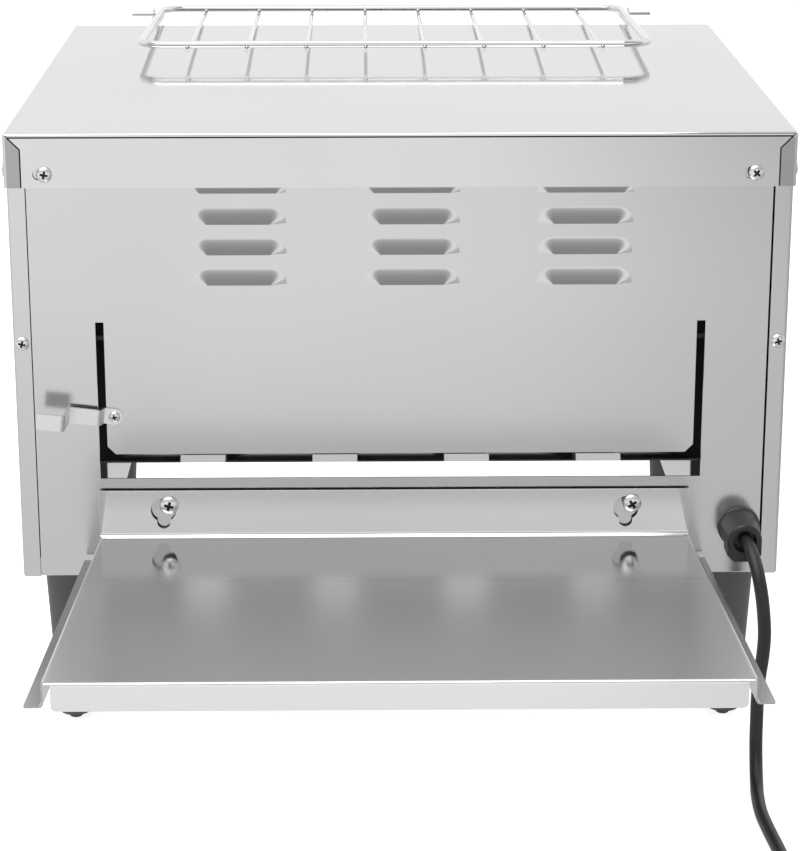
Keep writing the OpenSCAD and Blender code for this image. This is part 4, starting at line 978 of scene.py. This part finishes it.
# %% [markdown]
# ## Table
# The table is a plain pale sheet. The camera sees it matt and almost white, with the object's shadow on it.
# Bright metal sees a painted pool of light instead, a glow which fades to the right.

# %% Table
bpy.ops.mesh.primitive_plane_add(size=12, location=(0, 0, 0))
table = bpy.context.object
table.name = "table"
table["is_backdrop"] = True


def is_mirrored(tree, seen):
    """1 for a ray that comes from bright metal or through glass."""
    return add_node(tree, "ShaderNodeMath", {
        0: seen["Is Glossy Ray"], 1: seen["Is Transmission Ray"]}, operation="MAXIMUM").outputs[0]


# Table: white paper with a soft shadow.
table_paper = bpy.data.materials.new("white_table_paper")
table_paper.use_nodes = True
tree = table_paper.node_tree
tree.nodes.clear()
seen = add_node(tree, "ShaderNodeLightPath").outputs
place = place_of(tree)
# The pool is painted light: the table glows for rays from bright metal.
pool = add_node(tree, "ShaderNodeMath", {
    0: ramp(tree, place["Y"], -0.55, -1.35, 0.85, 1.07),
    1: ramp(tree, place["X"], 0.1, 0.6, 1.0, 0.62)}, operation="MULTIPLY")
pale = add_node(tree, "ShaderNodeEmission", {"Strength": pool.outputs[0]})
glow_level = add_node(tree, "ShaderNodeMath", {0: seen["Is Camera Ray"], 1: 0.85}, operation="MULTIPLY")
glow = add_node(tree, "ShaderNodeEmission", {"Strength": glow_level.outputs[0]})
matt = add_node(tree, "ShaderNodeBsdfDiffuse", {"Color": linear("#e8e8e8")})
lit = add_node(tree, "ShaderNodeAddShader", {0: matt.outputs[0], 1: glow.outputs[0]})
both = add_node(tree, "ShaderNodeMixShader", {
    0: is_mirrored(tree, seen), 1: lit.outputs[0], 2: pale.outputs[0]})
add_node(tree, "ShaderNodeOutputMaterial", {"Surface": both.outputs[0]})
table.data.materials.append(table_paper)
print("table set")

# %% [markdown]
# ## Sky and lamp
# The light is that of a white tent: a soft sky all round and one wide lamp overhead. To the camera the
# surroundings are white. Bright metal sees a room that is dim behind the camera, which gives the bends, the
# louvres and the chromed wire the darker line that they show. The room is a ramp over the angle above the
# horizon, from 0 behind the camera to 1 beyond the object.

# %% Sky and lamp
ROOM = ((0.117, 0.66), (0.14, 0.58), (0.18, 0.42), (0.22, 0.3), (0.36, 0.4))
WHITE = (1, 1, 1, 1)
world = bpy.data.worlds.new("white_tent")
bpy.context.scene.world = world
world.use_nodes = True
tree = world.node_tree
tree.nodes.clear()
seen = add_node(tree, "ShaderNodeLightPath").outputs
way = add_node(tree, "ShaderNodeTexCoord").outputs["Generated"]
parts = add_node(tree, "ShaderNodeSeparateXYZ", {"Vector": way}).outputs
behind = add_node(tree, "ShaderNodeMath", {0: parts["Y"], 1: -1}, operation="MULTIPLY")
rise = add_node(tree, "ShaderNodeMath", {0: parts["Z"], 1: behind.outputs[0]}, operation="ARCTAN2")
share = add_node(tree, "ShaderNodeMath", {0: rise.outputs[0], 1: math.pi}, operation="DIVIDE")
room = add_node(tree, "ShaderNodeValToRGB", {"Fac": share.outputs[0]})
stops = room.color_ramp.elements
stops[0].position, stops[0].color = 0.085, (1.1, 1.1, 1.1, 1)
stops[1].position, stops[1].color = 0.45, WHITE
for position, level in ROOM:
    stop = stops.new(position)
    stop.color = (level, level, level, 1)
mirrored = add_node(tree, "ShaderNodeBackground", {"Color": room.outputs["Color"], "Strength": 1.0})
white = add_node(tree, "ShaderNodeBackground", {"Color": WHITE, "Strength": 1.0})
lighting = add_node(tree, "ShaderNodeBackground", {"Color": WHITE, "Strength": 0.5})
unseen = add_node(tree, "ShaderNodeMixShader", {
    0: is_mirrored(tree, seen), 1: lighting.outputs[0], 2: mirrored.outputs[0]})
sky = add_node(tree, "ShaderNodeMixShader", {
    0: seen["Is Camera Ray"], 1: unseen.outputs[0], 2: white.outputs[0]})
add_node(tree, "ShaderNodeOutputWorld", {"Surface": sky.outputs[0]})

lamp_data = bpy.data.lights.new("overhead_softbox", "AREA")
lamp_data.shape = "RECTANGLE"
lamp_data.size = 2.4
lamp_data.size_y = 1.6
lamp_data.energy = 36
softbox = bpy.data.objects.new("overhead_softbox", lamp_data)
bpy.context.scene.collection.objects.link(softbox)
softbox.location = (-0.8, -0.8, 2.2)
bpy.context.scene.view_settings.view_transform = "Standard"
print("sky and lamp set")

# %% Bounds of the object
low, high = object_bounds()
